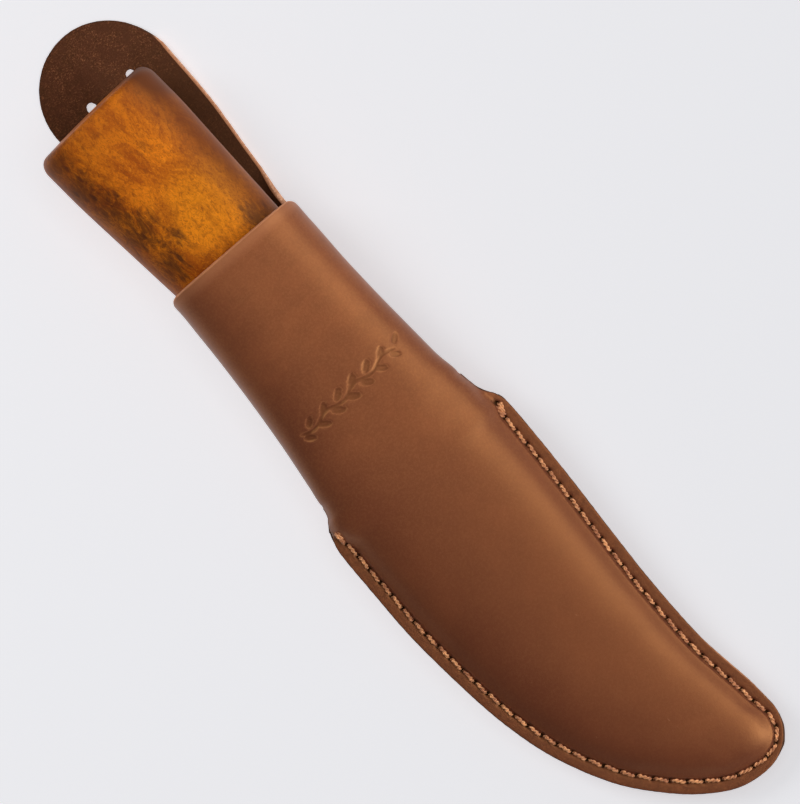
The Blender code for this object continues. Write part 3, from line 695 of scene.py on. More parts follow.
def back_leather(material):
    """Makes the back panel: the pouch's back, the collar's backing and the belt tongue."""
    below = spaced((-0.0665, 0.0005), (-0.0780, 0.0007), (TIP_CENTRE_Y, 0))
    pouch = [BACKING_BOTTOM_Y - 0.0006] + below
    middle, crease, edge = rib_lines(pouch, 100)
    half = 40
    s = np.linspace(1, 0, half + 1) ** 1.35
    dome = dome_rows(middle, crease, s, back_height)
    flange, sunk, flange_marks = flange_rows(crease, edge, -HALF_SEAM)
    ribs = np.concatenate([dome, flange], axis=1)
    marks = np.concatenate([np.tile(PLAIN, dome.shape[:2] + (1,)), flange_marks], axis=1)
    soften(ribs, half)
    ribs[:, half + 1:, 2] += sunk
    sheet = Sheet()
    sheet.add(ribs, marks, facing_up=False)
    round_end = [TONGUE_CENTRE[1] + TONGUE_RADIUS * math.sin(math.radians(a))
                 for a in np.linspace(87, 3, 34)]
    straight = spaced((TONGUE_CENTRE[1], 0.0008), (-0.060, 0.0006), (BACKING_BOTTOM_Y, 0))
    rows = np.array(round_end + straight[:-1])
    strips = []
    for knots, offsets, rib in zip((BACK_LEFT, BACK_RIGHT), tongue_columns(half), (0, -1)):
        strips.append(np.concatenate([back_side(rows, knots, offsets, s), ribs[[rib], : half + 1]]))
    whole = np.concatenate([strips[0][:, ::-1], strips[1][:, 1:]], axis=1)
    from_middle = np.abs(whole[..., 0] - whole[:, half: half + 1, 0])
    row_marks, sunk = collar_rows(from_middle, whole[..., 1])
    whole[..., 2] += sunk
    add_slotted(sheet, whole, row_marks, half)

    def rim(points):
        x, y = points[:, 0], points[:, 1]
        if np.ptp(x) < 0.010:  # a belt slot
            return np.full(len(x), SLOT_BULGE), 0 * x, 0 * x + 0.6
        raw = np.maximum(tongue_right(x, y), 0.12 * blend(-0.01, 0.0, y))
        return tongue_bulge(x, y), raw, 1 - at_ears(y)

    leather_panel("back_leather", sheet, rim, 0.70, material, "sheath_back", "leather_flesh")


def collar_rows(from_middle, y):
    """The marks of the two stitch rows on the collar's back, and how far they sink the leather."""
    low, high = COLLAR_ROW_ENDS
    end = 0.002
    marks = np.tile(PLAIN, y.shape + (1,))
    from_row = np.abs(from_middle - COLLAR_ROW_OFFSET)
    marks[..., 0] = (high - y) / STITCH_PITCH
    marks[..., 1] = np.where((y < high + end) & (y > low - end), from_row, FAR)
    nearest = (marks[..., 0] - np.round(marks[..., 0])) * STITCH_PITCH
    sunk = 0.0008 * bell(from_row, 0.0008) + 0.0008 * bell(np.hypot(nearest, from_row), HOLE_WIDTH)
    return marks, sunk * (blend(low - end, low, y) * blend(high + end, high, y))


def tongue_right(x, y):
    """1 along the tongue's right edge, which is left undyed and bulges a little further."""
    return blend(0.010, 0.018, x) * blend(-0.006, 0.004, y) * blend(0.058, 0.049, y)


def tongue_bulge(x, y):
    return edge_bulge(y) + 0.0005 * tongue_right(x, y)


def back_side(rows, knots, offsets, s):
    """The collar's backing and the tongue, from the middle out to one side."""
    side = math.copysign(1, offsets[-1])
    crease_line = smooth_line(CREASE_POINTS)
    turn = int(np.argmin(crease_line[:, 1]))
    crease = crease_line[: turn + 1][::-1] if side < 0 else crease_line[turn:]
    strip = []
    for y in rows:
        middle = float(curve_value(MIDDLE, y)) + TONGUE_LEAN * max(y, 0.0)
        half_width = abs(np.interp(y, crease[:, 1], crease[:, 0]) - middle)
        half_width += (LEATHER + 0.0006) * blend(-0.067, BACKING_BOTTOM_Y, y)
        over = max(y - TONGUE_CENTRE[1], 0.0)
        shrink = math.sqrt(max(1 - (over / TONGUE_RADIUS) ** 2, 0))
        base_y = min(y, TONGUE_CENTRE[1])
        base_middle = float(curve_value(MIDDLE, base_y)) + TONGUE_LEAN * max(base_y, 0.0)
        reach = abs(float(curve_value(knots, base_y)) - base_middle)
        reach -= tongue_bulge(base_middle + side * reach, base_y)
        # Past the slots, the tongue's columns are stretched to reach its edge
        straight, held = np.abs(offsets), 0.7
        past = straight > straight[-1] * held
        stretch = np.where(past, (straight - straight[-1] * held) / (straight[-1] * (1 - held)), 0)
        straight = straight + (reach - straight[-1]) * stretch
        even = reach * (1 - s)
        share = blend(-0.060, -0.020, y)
        x = base_middle + side * (even * (1 - share) + straight * share)
        x = TONGUE_CENTRE[0] + (x - TONGUE_CENTRE[0]) * shrink if over > 0 else x
        row = np.full_like(x, y)
        flatness = blend(*TONGUE_FLATTENS, y)
        from_middle = np.abs(x - middle) / half_width
        z = back_height(row, 1 - from_middle) * (1 - flatness)
        strip.append(np.stack([x, row, z], axis=1))
    return np.array(strip)


def add_slotted(sheet, whole, marks, half):
    """Adds the tongue with its two belt slots left open, their ends rounded."""
    before = columns_before_slot(half)
    spans = [(half - before - SLOT_COLUMNS, half - before),
             (half + before, half + before + SLOT_COLUMNS)]
    rows = whole[:, half, 1]
    keep = np.ones((whole.shape[0] - 1, whole.shape[1] - 1), bool)
    radius = SLOT_OPEN_HALF
    fade = 0.006  # how far past a slot's end its roundness dies out
    for (low, high), (bottom, top) in zip(spans, SLOT_ENDS):
        upper = int(np.argmin(np.abs(rows - (top - radius))))
        lower = int(np.argmin(np.abs(rows - (bottom + radius))))
        keep[upper:lower, low:high] = False
        centre = (whole[:, low, 0] + whole[:, high, 0]) / 2
        for end, sign in ((upper, 1), (lower, -1)):
            for i in range(whole.shape[0]):
                away = (rows[i] - rows[end]) * sign
                if -1e-9 <= away < fade:
                    across = (whole[i, low: high + 1, 0] - centre[i]) / radius
                    bow = radius * np.sqrt(np.clip(1 - across**2, 0, 1))
                    whole[i, low: high + 1, 1] += sign * bow * (1 - away / fade) ** 1.5
    sheet.add(whole, marks)
    quads = sheet.quads.pop().reshape(keep.shape + (4,))
    sheet.quads.append(quads[keep].reshape(-1, 4))


def loft(rings):
    """Points and faces of a closed body through rings of equal count."""
    rings = np.array(rings)
    rows, sides = rings.shape[:2]
    index = np.arange(rows * sides).reshape(rows, sides)
    after = np.roll(index, -1, axis=1)
    quads = np.stack([index[:-1], after[:-1], after[1:], index[1:]], axis=-1)
    ends = [index[0][::-1].tolist(), index[-1].tolist()]
    return rings.reshape(-1, 3), quads.reshape(-1, 4).tolist() + ends


def joined(parts):
    points, faces, count = [], [], 0
    for part_points, part_faces in parts:
        points.append(part_points)
        faces += [[i + count for i in face] for face in part_faces]
        count += len(part_points)
    return np.concatenate(points), faces


# Thread

def strand_tube(centre, offset_angle, aside):
    """One strand of the rope: rings of points round a helix along the centre line."""
    turn = lengths_along(centre) / TWIST * 2 * math.pi + offset_angle
    tangent = unit(np.gradient(centre, axis=0))
    side = unit(aside - (aside * tangent).sum(axis=1, keepdims=True) * tangent)
    up = np.cross(side, tangent)
    axis = centre + STRAND_OFFSET * (np.cos(turn)[:, None] * side + np.sin(turn)[:, None] * up)
    around = 2 * math.pi * np.arange(ROPE_SIDES) / ROPE_SIDES
    rings = [axis + STRAND_RADIUS * (math.cos(a) * side + math.sin(a) * up) for a in around]
    return np.stack(rings, axis=1)


def rope(path, aside, out, first, last, shift=0.0, slant=0.00020, seed=1.0):
    """Lock stitches from hole first to hole last: path(u) and aside(u) read the row at stitch u."""
    points_per_stitch = 22
    u = np.linspace(first, last, int((last - first) * points_per_stitch) + 1)
    phase = u - np.floor(u + 1e-9)
    lift = blend(0.06, 0.23, phase) * blend(0.94, 0.77, phase)
    wander = grain(np.stack([np.floor(u), u * 0, u * 0], axis=1), 1.7, seed)
    across = shift + (slant * np.cos(np.pi * phase) + 0.00018 * wander) * lift
    height = -0.0015 * (1 - lift) + (0.00022 + 0.00009 * wander) * lift
    centre = path(u) + aside(u) * across[:, None] + np.array(out) * height[:, None]
    return joined([loft(strand_tube(centre, angle, aside(u))) for angle in (0.0, math.pi)])


def pouch_stitches(name, node, level, material, row=None):
    """The thread on one face of the flange; row gives that face's height where it isn't flat."""
    rows = spaced((BACKING_BOTTOM_Y, 0.0008), (TIP_CENTRE_Y, 0))
    _, crease, edge = rib_lines(rows, 90)
    path, along, last, _ = stitch_line(crease, edge)
    inwards = unit(crease - edge)
    out = math.copysign(1, level)

    def place(u):
        x, y = (np.interp(u, along, path[:, k]) for k in range(2))
        face = axis_z(y) + level if row is None else np.interp(u, *row)
        return np.stack([x, y, face - out * GROOVE_DEPTH], axis=1)

    def aside(u):
        x, y = (np.interp(u, along, inwards[:, k]) for k in range(2))
        return np.stack([x, y, 0 * x], axis=1)

    up = (0, 0, out)
    parts = [rope(place, aside, up, 0, last),
             rope(place, aside, up, 0, 1, shift=-0.0007, slant=-0.0002, seed=4.0),
             rope(place, aside, up, last - 1, last, shift=-0.0006, seed=6.0),
             rope(place, aside, up, last - 1, last, shift=0.0005, slant=-0.0002, seed=8.0)]
    new_piece(name, *joined(parts), material, "sheath", "waxed_thread", node)


def collar_stitches(name, node, sign, material):
    """One of the two rows on the collar's back."""
    count = round((COLLAR_ROW_ENDS[1] - COLLAR_ROW_ENDS[0]) / STITCH_PITCH)

    def place(u):
        y = COLLAR_ROW_ENDS[1] - u * STITCH_PITCH
        x = curve_value(MIDDLE, y) + sign * COLLAR_ROW_OFFSET
        return np.stack([x, y, 0 * y + 0.00085], axis=1)

    def aside(u):
        return np.tile((1.0, 0.0, 0.0), (len(u), 1))

    parts = rope(place, aside, (0, 0, -1), 0, count)
    new_piece(name, *parts, material, "sheath", "waxed_thread", node)


# Knife

def knife_place(points):
    """From the knife's own frame to the sheath's: its axis climbs towards the butt."""
    turn = math.atan(SLOPE)
    x, y, z = np.asarray(points, float).T
    return np.stack([x + KNIFE_X, y * math.cos(turn) - z * math.sin(turn),
                     AXIS_HEIGHT + y * math.sin(turn) + z * math.cos(turn)], axis=1)


def rounded(y, reach, depth):
    """How much less the handle measures near its two ends, as a quarter of an ellipse."""
    to_butt = np.clip(1 - (BUTT_Y - y) / reach, 0, 1)
    to_front = np.clip(1 - (y - HANDLE_FRONT_Y) / FRONT_ROUND, 0, 1)
    return (depth * (1 - math.sqrt(1 - to_butt**2))
            + FRONT_ROUND * (1 - math.sqrt(1 - to_front**2)))


def handle_wood(material):
    sides = 112
    turns = np.linspace(0, 2 * math.pi, sides + 1)[:-1]
    round_x, round_z = (np.sign(wave) * np.abs(wave) ** (2 / HANDLE_POWER)
                        for wave in (np.cos(turns), np.sin(turns)))
    ends = np.sin(np.linspace(0, math.pi / 2, 14))
    start, end = HANDLE_FRONT_Y + FRONT_ROUND, BUTT_Y - BUTT_ROUND[0]
    places = np.concatenate([HANDLE_FRONT_Y + FRONT_ROUND * (1 - ends[::2][::-1]),
                             np.linspace(start, end, 90)[1:-1],
                             BUTT_Y - BUTT_ROUND[0] * (1 - ends)])
    rings = []
    for y in places:
        width, height = (curve_value(half, y) - rounded(y, reach, depth)
                         for half, reach, depth in zip((HANDLE_HALF_WIDTH, HANDLE_HALF_HEIGHT),
                                                       BUTT_ROUND, BUTT_NARROWS))
        rings.append(np.stack([round_x * width, np.full(sides, y), round_z * height], axis=1))
    # The butt's end is very slightly crowned
    for share in (0.75, 0.45, 0.18):
        rings.append(rings[len(places) - 1] * (share, 1, share) + (0, 0.0004 * (1 - share**2), 0))
    points, faces = loft(rings)
    uneven = grain(points, 60, 9.0) * 0.00010
    points = points + unit(points * (1, 0, 1)) * uneven[:, None]
    piece = new_piece("handle_wood", knife_place(points), faces, material, "knife",
                      "burl_wood", "handle", sharp=60)
    bore_for_tang(piece)


def bore_for_tang(piece):
    wall = 0.0017  # of glue round the tang
    x, z = TANG_HALF[0] + wall, TANG_HALF[1] + wall
    ring = [(x, z), (-x, z), (-x, -z), (x, -z)]
    points, faces = loft([[(a, y, b) for a, b in ring]
                          for y in (HANDLE_FRONT_Y - 0.004, TANG_TOP_Y + wall)])
    mesh = bpy.data.meshes.new("tang_bore")
    mesh.from_pydata((knife_place(points) + MOUTH).tolist(), [], faces)
    cutter = bpy.data.objects.new("tang_bore", mesh)
    bpy.context.scene.collection.objects.link(cutter)
    boolean = piece.modifiers.new("bore", "BOOLEAN")
    boolean.object = cutter
    boolean.solver = "EXACT"
    apply_modifiers(piece)
    bpy.data.objects.remove(cutter)


def blade_steel(material):
    places = np.concatenate([np.linspace(-0.1800, -0.1700, 14)[:-1],
                             np.linspace(-0.1700, -0.0763, 60)])
    halves = []  # each ring's upper half, from the spine to the edge
    for y in places:
        spine, edge = float(curve_value(SPINE, y)), float(curve_value(EDGE, y))
        half = float(curve_value(BLADE_THICKNESS, y)) / 2
        bevel = edge + min(0.007, 0.6 * (spine - edge))
        ease = min(0.0004, 0.2 * (spine - edge))
        halves.append((y, [(spine - ease * 0.2, half * 0.8), (spine - ease, half), (bevel, half),
                           ((bevel + edge) / 2, half * 0.52), (edge, 0.00008)]))
    wide, thick = TANG_HALF
    tang = [(wide, thick * 0.8), (wide * 0.9, thick), (0, thick), (-wide * 0.9, thick),
            (-wide, thick * 0.8)]
    halves += [(places[-1] + 0.0002, tang), (TANG_TOP_Y, tang)]
    points, faces = loft([[(x, y, z) for x, z in upper] + [(x, y, -z) for x, z in upper[::-1]]
                          for y, upper in halves])
    new_piece("blade_steel", knife_place(points), faces, material, "knife",
              "blade_steel", "blade", sharp=14)


# Materials

class Shader:
    """A material whose nodes are made by name and read the object's own coordinates."""

    def __init__(self, name, **constants):
        self.material = bpy.data.materials.new(name)
        self.material.use_nodes = True
        self.nodes = self.material.node_tree.nodes
        self.links = self.material.node_tree.links
        self.body = self.nodes["Principled BSDF"]
        for key, value in constants.items():
            self.body.inputs[key.replace("_", " ")].default_value = value
        self.place = self.add("ShaderNodeTexCoord").outputs["Object"]
        self.colour = None

    def add(self, kind, inputs=None, **settings):
        node = self.nodes.new(kind)
        for key, value in settings.items():
            setattr(node, key, value)
        for key, value in (inputs or {}).items():
            if isinstance(value, bpy.types.NodeSocket):
                self.links.new(value, node.inputs[key])
            else:
                node.inputs[key].default_value = value
        return node

    def stretched(self, scale, turn=0.0):
        """The object's own coordinates, scaled and turned about Z."""
        made = self.add("ShaderNodeMapping", {"Vector": self.place, "Scale": scale,
                                              "Rotation": (0.0, 0.0, turn)})
        return made.outputs[0]

    def noise(self, scale, detail=4.0, rough=0.55, place=None, twist=0.0):
        made = self.add("ShaderNodeTexNoise", {
            "Vector": place or self.place, "Scale": scale, "Detail": detail,
            "Roughness": rough, "Distortion": twist})
        return made.outputs["Fac"]

    def cells(self, scale, place=None):
        made = self.add("ShaderNodeTexVoronoi", {"Vector": place or self.place, "Scale": scale})
        return made.outputs["Distance"]

    def away_from(self, x, y, z):
        """The distance to a place counted from the mouth."""
        made = self.add("ShaderNodeVectorMath", {
            0: self.place, 1: (MOUTH[0] + x, MOUTH[1] + y, z)}, operation="DISTANCE")
        return made.outputs["Value"]

    def mark(self, name):
        return self.add("ShaderNodeAttribute", attribute_name=name).outputs["Fac"]

    def math(self, operation, a, b=0.0, clamp=False):
        made = self.add("ShaderNodeMath", {0: a, 1: b}, operation=operation, use_clamp=clamp)
        return made.outputs[0]

    def times(self, a, b):
        return self.math("MULTIPLY", a, b)

    def plus(self, a, b, clamp=False):
        return self.math("ADD", a, b, clamp)

    def fit(self, value, low, high, to_low=0.0, to_high=1.0):
        """The value taken smoothly from one range to another, and held at its ends."""
        made = self.add("ShaderNodeMapRange", {
            "Value": value, "From Min": low, "From Max": high, "To Min": to_low,
            "To Max": to_high}, interpolation_type="SMOOTHSTEP")
        return made.outputs[0]

    def mix(self, share, a, b):
        made = self.add("ShaderNodeMix", {0: share}, data_type="RGBA")
        for socket, value in ((made.inputs[6], a), (made.inputs[7], b)):
            if isinstance(value, bpy.types.NodeSocket):
                self.links.new(value, socket)
            else:
                socket.default_value = (*value, 1.0)
        return made.outputs[2]

    def total(self, *terms):
        """The sum of value times weight over the terms."""
        whole = None
        for value, weight in terms:
            term = self.times(value, weight)
            whole = term if whole is None else self.plus(whole, term)
        return whole

    def coat(self, share, tint):
        """Lays a share of this tint over the colour so far."""
        self.colour = self.mix(share, self.colour, tint)

    def finish(self, roughness, height, distance):
        self.links.new(self.colour, self.body.inputs["Base Color"])
        self.links.new(roughness, self.body.inputs["Roughness"])
        bump = self.add("ShaderNodeBump", {"Height": height, "Distance": distance, "Strength": 1.0})
        self.links.new(bump.outputs[0], self.body.inputs["Normal"])
        return self.material


GRAIN_DARK, GRAIN_LIGHT = (0.140, 0.038, 0.0190), (0.198, 0.057, 0.0250)
FLESH_DARK, FLESH_LIGHT = (0.046, 0.0130, 0.0095), (0.300, 0.105, 0.046)
RAW_EDGE, RAW_SHADE = (0.64, 0.34, 0.21), (0.36, 0.16, 0.085)
# The dyed cut edge is dark both from its dye and as painted shade for its side in shadow
DYED_AND_SHADED_EDGE, DYED_AND_SHADED_EDGE_DARK = (0.100, 0.034, 0.018), (0.020, 0.008, 0.006)


def leather(name):
    """Waxed grain outside, rough flesh inside, and the raw fibres of the cut edge between them."""
    made = Shader(name, Specular_IOR_Level=1.0)
    made.body.inputs["Specular Tint"].default_value = (1.0, 0.45, 0.15, 1.0)
    edge, inside = made.mark("edge"), made.mark("inside")
    raw, tooled = made.mark("raw"), made.mark("tooled")
    along, across = made.mark("along"), made.mark("across")

    clouds = made.noise(22, 5, 0.6, twist=0.4)
    mottle = made.noise(150, 6, 0.65)
    fine = made.noise(1500, 5, 0.7)
    pores = made.cells(2300)
    pits = made.fit(pores, 0.10, 0.26)
    made.colour = made.mix(made.fit(clouds, 0.34, 0.68), GRAIN_DARK, GRAIN_LIGHT)
    made.coat(made.fit(mottle, 0.40, 0.66, 0.0, 0.45), GRAIN_DARK)
    made.coat(made.fit(fine, 0.42, 0.64, 0.0, 0.24), (0.30, 0.112, 0.042))
    x, y, z = made.add("ShaderNodeSeparateXYZ", {0: made.place}).outputs
    deep = made.fit(y, MOUTH[1] - 0.050, MOUTH[1] - 0.120, 0.0, 0.48)
    made.coat(deep, (0.088, 0.022, 0.012))
    # Painted highlight: the top of the collar is painted lighter along the mouth, where light would
    # catch a rounded lip
    from_mouth = made.plus(y, made.times(x, MOUTH_SLANT))
    mouth = MOUTH[1] + MOUTH_SLANT * (MOUTH[0] + MOUTH_SIDE)
    mouth_lip_highlight = made.times(made.fit(from_mouth, mouth - 0.0034, mouth - 0.0002, 0.0, 0.42),
                      made.fit(z, 0.010, 0.016))
    made.coat(mouth_lip_highlight, (0.400, 0.155, 0.075))
    sparse = made.fit(made.noise(420, 2, 0.5), 0.56, 0.66)
    specks = made.times(made.math("SUBTRACT", 1.0, pits), sparse)
    made.coat(made.times(specks, 0.5), (0.045, 0.015, 0.006))
    scratch_place = made.stretched((1.0, 0.30, 1.0), 0.55)
    scratch = made.fit(made.noise(900, 3, 0.5, scratch_place), 0.71, 0.78)
    scuffed = made.times(scratch, made.fit(made.noise(45, 2, 0.5), 0.52, 0.66))
    made.coat(made.times(scuffed, 0.35), (0.36, 0.17, 0.085))

    stray = made.math("SUBTRACT", along, made.math("ROUND", along))
    stray = made.times(stray, STITCH_PITCH)
    squared = made.plus(made.math("POWER", stray, 2.0), made.math("POWER", across, 2.0))
    hole = made.fit(made.math("SQRT", squared), 0.00085, 0.00045)
    # Painted shade: the leather is painted darker in the stitch groove
    groove = made.fit(across, 0.0014, 0.0004, 0.0, 0.45)
    made.coat(groove, (0.090, 0.028, 0.012))
    flange = made.fit(across, 0.0045, 0.0025)
    pulled = made.times(flange, made.noise(520, 6, 0.75))
    made.coat(made.fit(pulled, 0.30, 0.66, 0.0, 0.60), (0.062, 0.018, 0.013))
    # Painted relief shading of the tooled sprig: a painted highlight along its rims and painted shade
    # in its pressed hollows
    rim = made.times(made.fit(tooled, 0.0, 0.12), made.fit(tooled, 0.45, 0.15))
    made.coat(made.times(rim, 0.26), (0.42, 0.165, 0.065))
    made.coat(made.fit(tooled, 0.3, 0.9, 0.0, 0.60), (0.10, 0.030, 0.012))
    # Painted shade: the stitch holes are painted nearly black
    made.coat(hole, (0.006, 0.003, 0.002))

    nap = made.noise(2300, 7, 0.72, twist=0.4)
    tufts = made.noise(210, 6, 0.65)
    flesh = made.mix(made.fit(nap, 0.46, 0.70), FLESH_DARK, FLESH_LIGHT)
    crumb = made.noise(1100, 5, 0.8)
    flesh = made.mix(made.fit(crumb, 0.38, 0.58, 0.75, 0.0), flesh, (0.014, 0.005, 0.004))
    flesh = made.mix(made.fit(tufts, 0.36, 0.60, 0.75, 0.0), flesh, FLESH_DARK)
    # Painted shadow: the flesh is painted darker from part way along the tongue towards the mouth,
    # where the handle shades it
    handle_shadow_on_flesh = made.fit(y, MOUTH[1] + 0.062, MOUTH[1] + 0.034, 0.0, 0.72)
    flesh = made.mix(handle_shadow_on_flesh, flesh, (0.020, 0.006, 0.005))
    made.coat(made.fit(inside, 0.55, 0.85), flesh)

    # The rim is paler wherever the cut edge is raw
    light_rim = made.times(made.fit(edge, 0.0, 0.12), made.fit(raw, 0.30, 0.50, 0.0, 0.75))
    made.coat(light_rim, (0.56, 0.235, 0.115))
    fibres = made.noise(1600, 4, 0.7, made.stretched((1.0, 1.0, 0.25)))
    uneven = made.noise(330, 4, 0.6)
    pale = made.mix(made.fit(fibres, 0.40, 0.66), RAW_EDGE, RAW_SHADE)
    # Dye and painted shade: the dyed cut edge is painted dark, standing also for its side in shadow
    dyed_and_shaded = made.mix(made.fit(uneven, 0.35, 0.62), DYED_AND_SHADED_EDGE, DYED_AND_SHADED_EDGE_DARK)
    fresh = made.fit(made.plus(raw, made.times(uneven, 0.25)), 0.35, 0.70)
    cut = made.times(edge, made.fit(uneven, 0.25, 0.60, 0.6, 1.0))
    made.coat(made.fit(cut, 0.35, 0.80), made.mix(fresh, dyed_and_shaded, pale))

    roughness = made.total((clouds, 0.10), (mottle, 0.12), (fine, 0.08), (edge, 0.25),
                           (inside, 0.45), (hole, 0.3))
    roughness = made.plus(roughness, 0.24, clamp=True)
    height = made.total((pits, 0.18), (fine, 0.30), (mottle, 0.40), (scuffed, -0.25),
                        (pulled, 2.2), (made.times(inside, crumb), 3.0),
                        (made.times(edge, fibres), 1.4))
    return made.finish(roughness, height, 0.00010)


# The wood's dark clouds: x, y and reach
SMOKE = [(-0.0156, 0.0476, 0.0050), (-0.0060, 0.0455, 0.0045), (0.0014, 0.0470, 0.0030),
         (-0.0160, 0.0370, 0.0055), (-0.0145, 0.0290, 0.0050), (-0.0135, 0.0200, 0.0060),
         (-0.0090, 0.0120, 0.0040), (-0.0140, 0.0070, 0.0050), (-0.0060, 0.0080, 0.0022),
         (0.0120, 0.0012, 0.0050), (0.0020, 0.0340, 0.0040)]


def burl_wood():
    made = Shader("burl_wood", Specular_IOR_Level=0.20)
    made.body.inputs["Specular Tint"].default_value = (1.0, 0.62, 0.30, 1.0)
    along = made.stretched((1.0, 0.45, 1.0))
    x, y, _ = made.add("ShaderNodeSeparateXYZ", {0: made.place}).outputs
    warp = made.noise(95, 7, 0.70, along, 1.5)
    made.colour = made.mix(made.fit(warp, 0.36, 0.62), (0.32, 0.062, 0.005), (0.68, 0.180, 0.007))
    # Painted highlight: a paler patch on top of the handle, where the light falls most
    handle_top_highlight = made.away_from(0.005, 0.011, 0.03)
    made.coat(made.fit(handle_top_highlight, 0.020, 0.004, 0.0, 0.5), (0.80, 0.270, 0.007))
    curl = made.noise(430, 8, 0.80, along, 2.4)
    made.coat(made.fit(curl, 0.47, 0.68, 0.0, 0.60), (0.20, 0.042, 0.006))
    fibre = made.noise(1500, 4, 0.6, made.stretched((1.0, 0.55, 1.0), 0.12), 1.4)
    made.coat(made.fit(fibre, 0.34, 0.52, 0.55, 0.0), (0.17, 0.038, 0.006))
    made.coat(made.fit(fibre, 0.54, 0.72, 0.0, 0.35), (0.86, 0.30, 0.02))

    cloud = 0.0
    for place_x, place_y, reach in SMOKE:
        away = made.away_from(place_x, place_y, 0.028)
        near = made.fit(away, reach * 2.1, reach * 0.2, 0.0, 0.26)
        cloud = made.math("MAXIMUM", cloud, near)
    wisps = made.noise(250, 10, 0.84, along, 2.4)
    smoke = made.fit(made.plus(wisps, cloud), 0.58, 0.82)
    made.coat(made.times(smoke, 0.80), (0.055, 0.018, 0.007))
    eyes = made.fit(made.cells(330, place=along), 0.30, 0.12)
    eyes = made.times(eyes, made.fit(cloud, 0.05, 0.2))
    made.coat(made.times(eyes, 0.7), (0.035, 0.012, 0.007))

    # Painted shade: the handle is painted darker down both sides and round the butt's right corner,
    # where its rounded faces turn from the light
    aside = made.math("SUBTRACT", x, MOUTH[0] + KNIFE_X)
    rim = made.plus(made.fit(aside, 0.0060, 0.0170, 0.0, 0.80),
                    made.fit(aside, -0.0110, -0.0185, 0.0, 0.50))
    corner = made.away_from(0.0175, 0.0500, 0.024)
    rim = made.plus(rim, made.fit(corner, 0.014, 0.002, 0.0, 0.45), clamp=True)
    by_butt = made.fit(y, MOUTH[1] + 0.030, MOUTH[1] + 0.052, 0.0, 0.32)
    made.coat(by_butt, (0.240, 0.056, 0.008))
    made.coat(rim, (0.120, 0.032, 0.010))
    roughness = made.total((curl, 0.12), (fibre, 0.14))
    roughness = made.plus(roughness, 0.34)
    height = made.total((fibre, 0.7), (curl, 0.25), (eyes, -0.4))
    return made.finish(roughness, height, 0.00004)


def waxed_thread():
    made = Shader("waxed_thread", Specular_IOR_Level=0.4, Sheen_Weight=0.15)
    fine = made.noise(5200, 4, 0.7)
    patch = made.noise(420, 3, 0.6)
    made.colour = made.mix(made.fit(patch, 0.35, 0.68), (0.42, 0.145, 0.055), (0.92, 0.42, 0.168))
    made.coat(made.fit(fine, 0.38, 0.60, 0.5, 0.0), (0.24, 0.080, 0.030))
    roughness = made.fit(fine, 0.3, 0.7, 0.42, 0.72)
    return made.finish(roughness, fine, 0.00006)


def satin_steel():
    made = Shader("satin_steel", Metallic=1.0, Specular_IOR_Level=0.5)
    lines = made.noise(2600, 4, 0.7, made.stretched((0.05, 1.0, 1.0)))
    stain = made.noise(70, 5, 0.65)
    made.colour = made.mix(made.fit(stain, 0.40, 0.72, 0.0, 0.5), (0.34, 0.34, 0.335),
                           (0.20, 0.19, 0.18))
    made.coat(made.fit(lines, 0.35, 0.65, 0.35, 0.0), (0.14, 0.14, 0.14))
    roughness = made.fit(lines, 0.3, 0.7, 0.42, 0.58)
    return made.finish(roughness, lines, 0.00002)


def moulded_insert():
    made = Shader("moulded_insert", Specular_IOR_Level=0.4)
    texture = made.noise(2400, 3, 0.6)
    wear = made.noise(160, 4, 0.6)
    made.colour = made.mix(made.fit(wear, 0.45, 0.75, 0.0, 0.5), (0.018, 0.018, 0.019),
                           (0.050, 0.048, 0.046))
    roughness = made.fit(texture, 0.3, 0.7, 0.42, 0.62)
    return made.finish(roughness, texture, 0.00004)


def set_glue():
    made = Shader("set_glue", Specular_IOR_Level=0.5)
    cloud = made.noise(300, 5, 0.6, twist=1.0)
    made.colour = made.mix(made.fit(cloud, 0.35, 0.7), (0.34, 0.22, 0.085), (0.60, 0.46, 0.24))
    roughness = made.fit(cloud, 0.3, 0.7, 0.25, 0.45)
    return made.finish(roughness, cloud, 0.00008)


def studio_floor():
    """A pale diffusing table that is lit a little from beneath."""
    made = Shader("studio_floor", Specular_IOR_Level=0.05, Emission_Strength=0.575)
    soft = made.noise(3, 3, 0.5)
    made.colour = made.mix(soft, (0.790, 0.790, 0.815), (0.805, 0.805, 0.830))
    made.body.inputs["Emission Color"].default_value = (0.97, 0.97, 1.0, 1.0)
    roughness = made.fit(soft, 0.3, 0.7, 0.85, 0.95)
    return made.finish(roughness, made.noise(1200, 2, 0.5), 0.00001)


# Studio

RIGHT, UP = np.array([0.712, -0.702, 0.0]), np.array([0.702, 0.712, 0.0])  # of the picture
TARGET = np.array([0.0038, -0.0599, 0.0]) + MOUTH
CAMERA_HEIGHT = 2.508
CAMERA_TURN = math.radians(-44.6)
SENSOR, LENS = 36.0, 425.5  # in millimetres; a long lens, for a nearly flat view
FLOOR_HALF, FLOOR_Z = 1.6, -0.00005


def area_light(name, right, up, high, size, watts):
    """A softbox at this place, as seen in the picture, that faces the object."""
    data = bpy.data.lights.new(name, "AREA")
    data.shape = "RECTANGLE"
    data.size, data.size_y = size
    data.energy = watts
    light = bpy.data.objects.new(name, data)
    bpy.context.scene.collection.objects.link(light)
    place = Vector(TARGET + RIGHT * right + UP * up + np.array([0, 0, high]))
    light.location = place
    light.rotation_euler = (Vector(TARGET) - place).to_track_quat("-Z", "Y").to_euler()
    return light


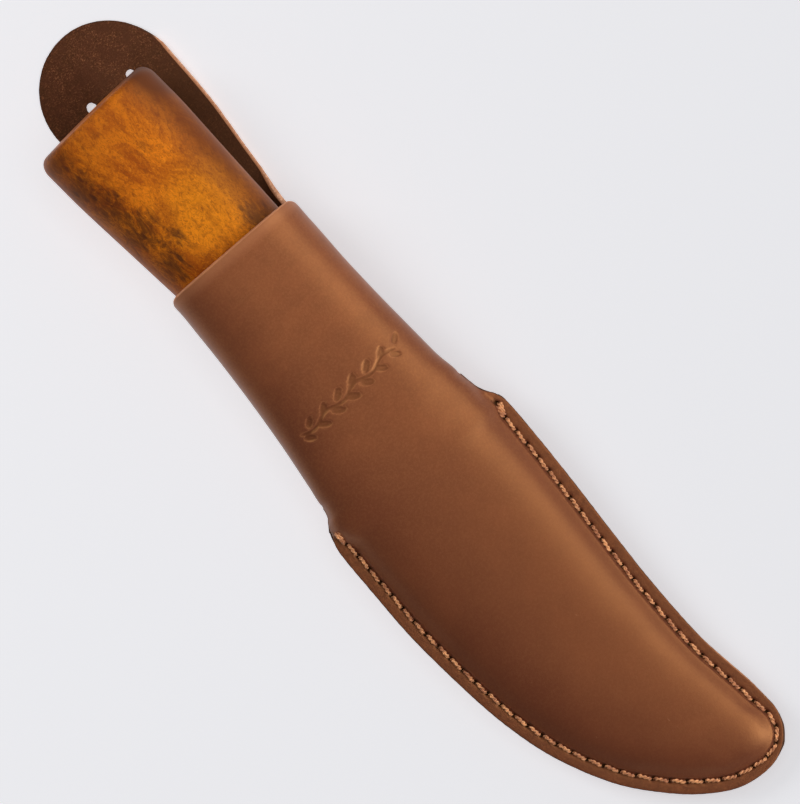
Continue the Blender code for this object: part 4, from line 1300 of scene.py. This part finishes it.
def studio():
    mesh = bpy.data.meshes.new("floor")
    sides = (-FLOOR_HALF, FLOOR_HALF)
    mesh.from_pydata([(x, y, FLOOR_Z) for y in sides for x in sides], [], [(0, 1, 3, 2)])
    mesh.materials.append(studio_floor())
    floor = bpy.data.objects.new("floor", mesh)
    bpy.context.scene.collection.objects.link(floor)

    world = bpy.data.worlds.new("studio")
    world.use_nodes = True
    background = world.node_tree.nodes["Background"]
    background.inputs["Color"].default_value = (0.92, 0.94, 1.0, 1.0)
    background.inputs["Strength"].default_value = 0.08
    bpy.context.scene.world = world
    # The two lights that shape the leather are flagged off the table, as a studio would do
    off_the_table = bpy.data.collections.new("off_the_table")
    for piece in bpy.context.scene.objects:
        if piece.type == "MESH" and piece != floor:
            off_the_table.objects.link(piece)
    for light in (area_light("softbox", 0.74, 0.38, 0.66, (1.5, 0.62), 8.8),
                  area_light("tip_light", 0.80, -0.20, 0.42, (0.5, 0.35), 3.4)):
        light.light_linking.receiver_collection = off_the_table
    area_light("overhead", 0.0, 0.0, 1.2, (0.9, 0.9), 2.1)
    area_light("window", -0.70, 0.28, 0.80, (0.5, 0.5), 2.2)

    data = bpy.data.cameras.new("camera")
    data.sensor_width = SENSOR
    data.lens = LENS
    camera = bpy.data.objects.new("camera", data)
    bpy.context.scene.collection.objects.link(camera)
    camera.location = TARGET + np.array([0, 0, CAMERA_HEIGHT])
    camera.rotation_euler = (0.0, 0.0, CAMERA_TURN)
    bpy.context.scene.camera = camera
    bpy.context.scene.view_settings.view_transform = "Standard"


def main():
    hide = leather("leather")
    thread = waxed_thread()
    row = front_leather(hide)
    back_leather(hide)
    pouch_stitches("pouch_stitches_front", "pouch_thread_front", HALF_SEAM, thread, row)
    pouch_stitches("pouch_stitches_back", "pouch_thread_back", -HALF_SEAM, thread)
    collar_stitches("collar_stitches_left", "collar_thread_left", -1, thread)
    collar_stitches("collar_stitches_right", "collar_thread_right", 1, thread)
    handle_wood(burl_wood())
    blade_steel(satin_steel())
    insert, glue = moulded_insert(), set_glue()
    for node, material in (("liner_front", insert), ("liner_back", insert), ("tang_bedding", glue)):
        frame["nodes"][node].data.materials.clear()
        frame["nodes"][node].data.materials.append(material)
    studio()


main()
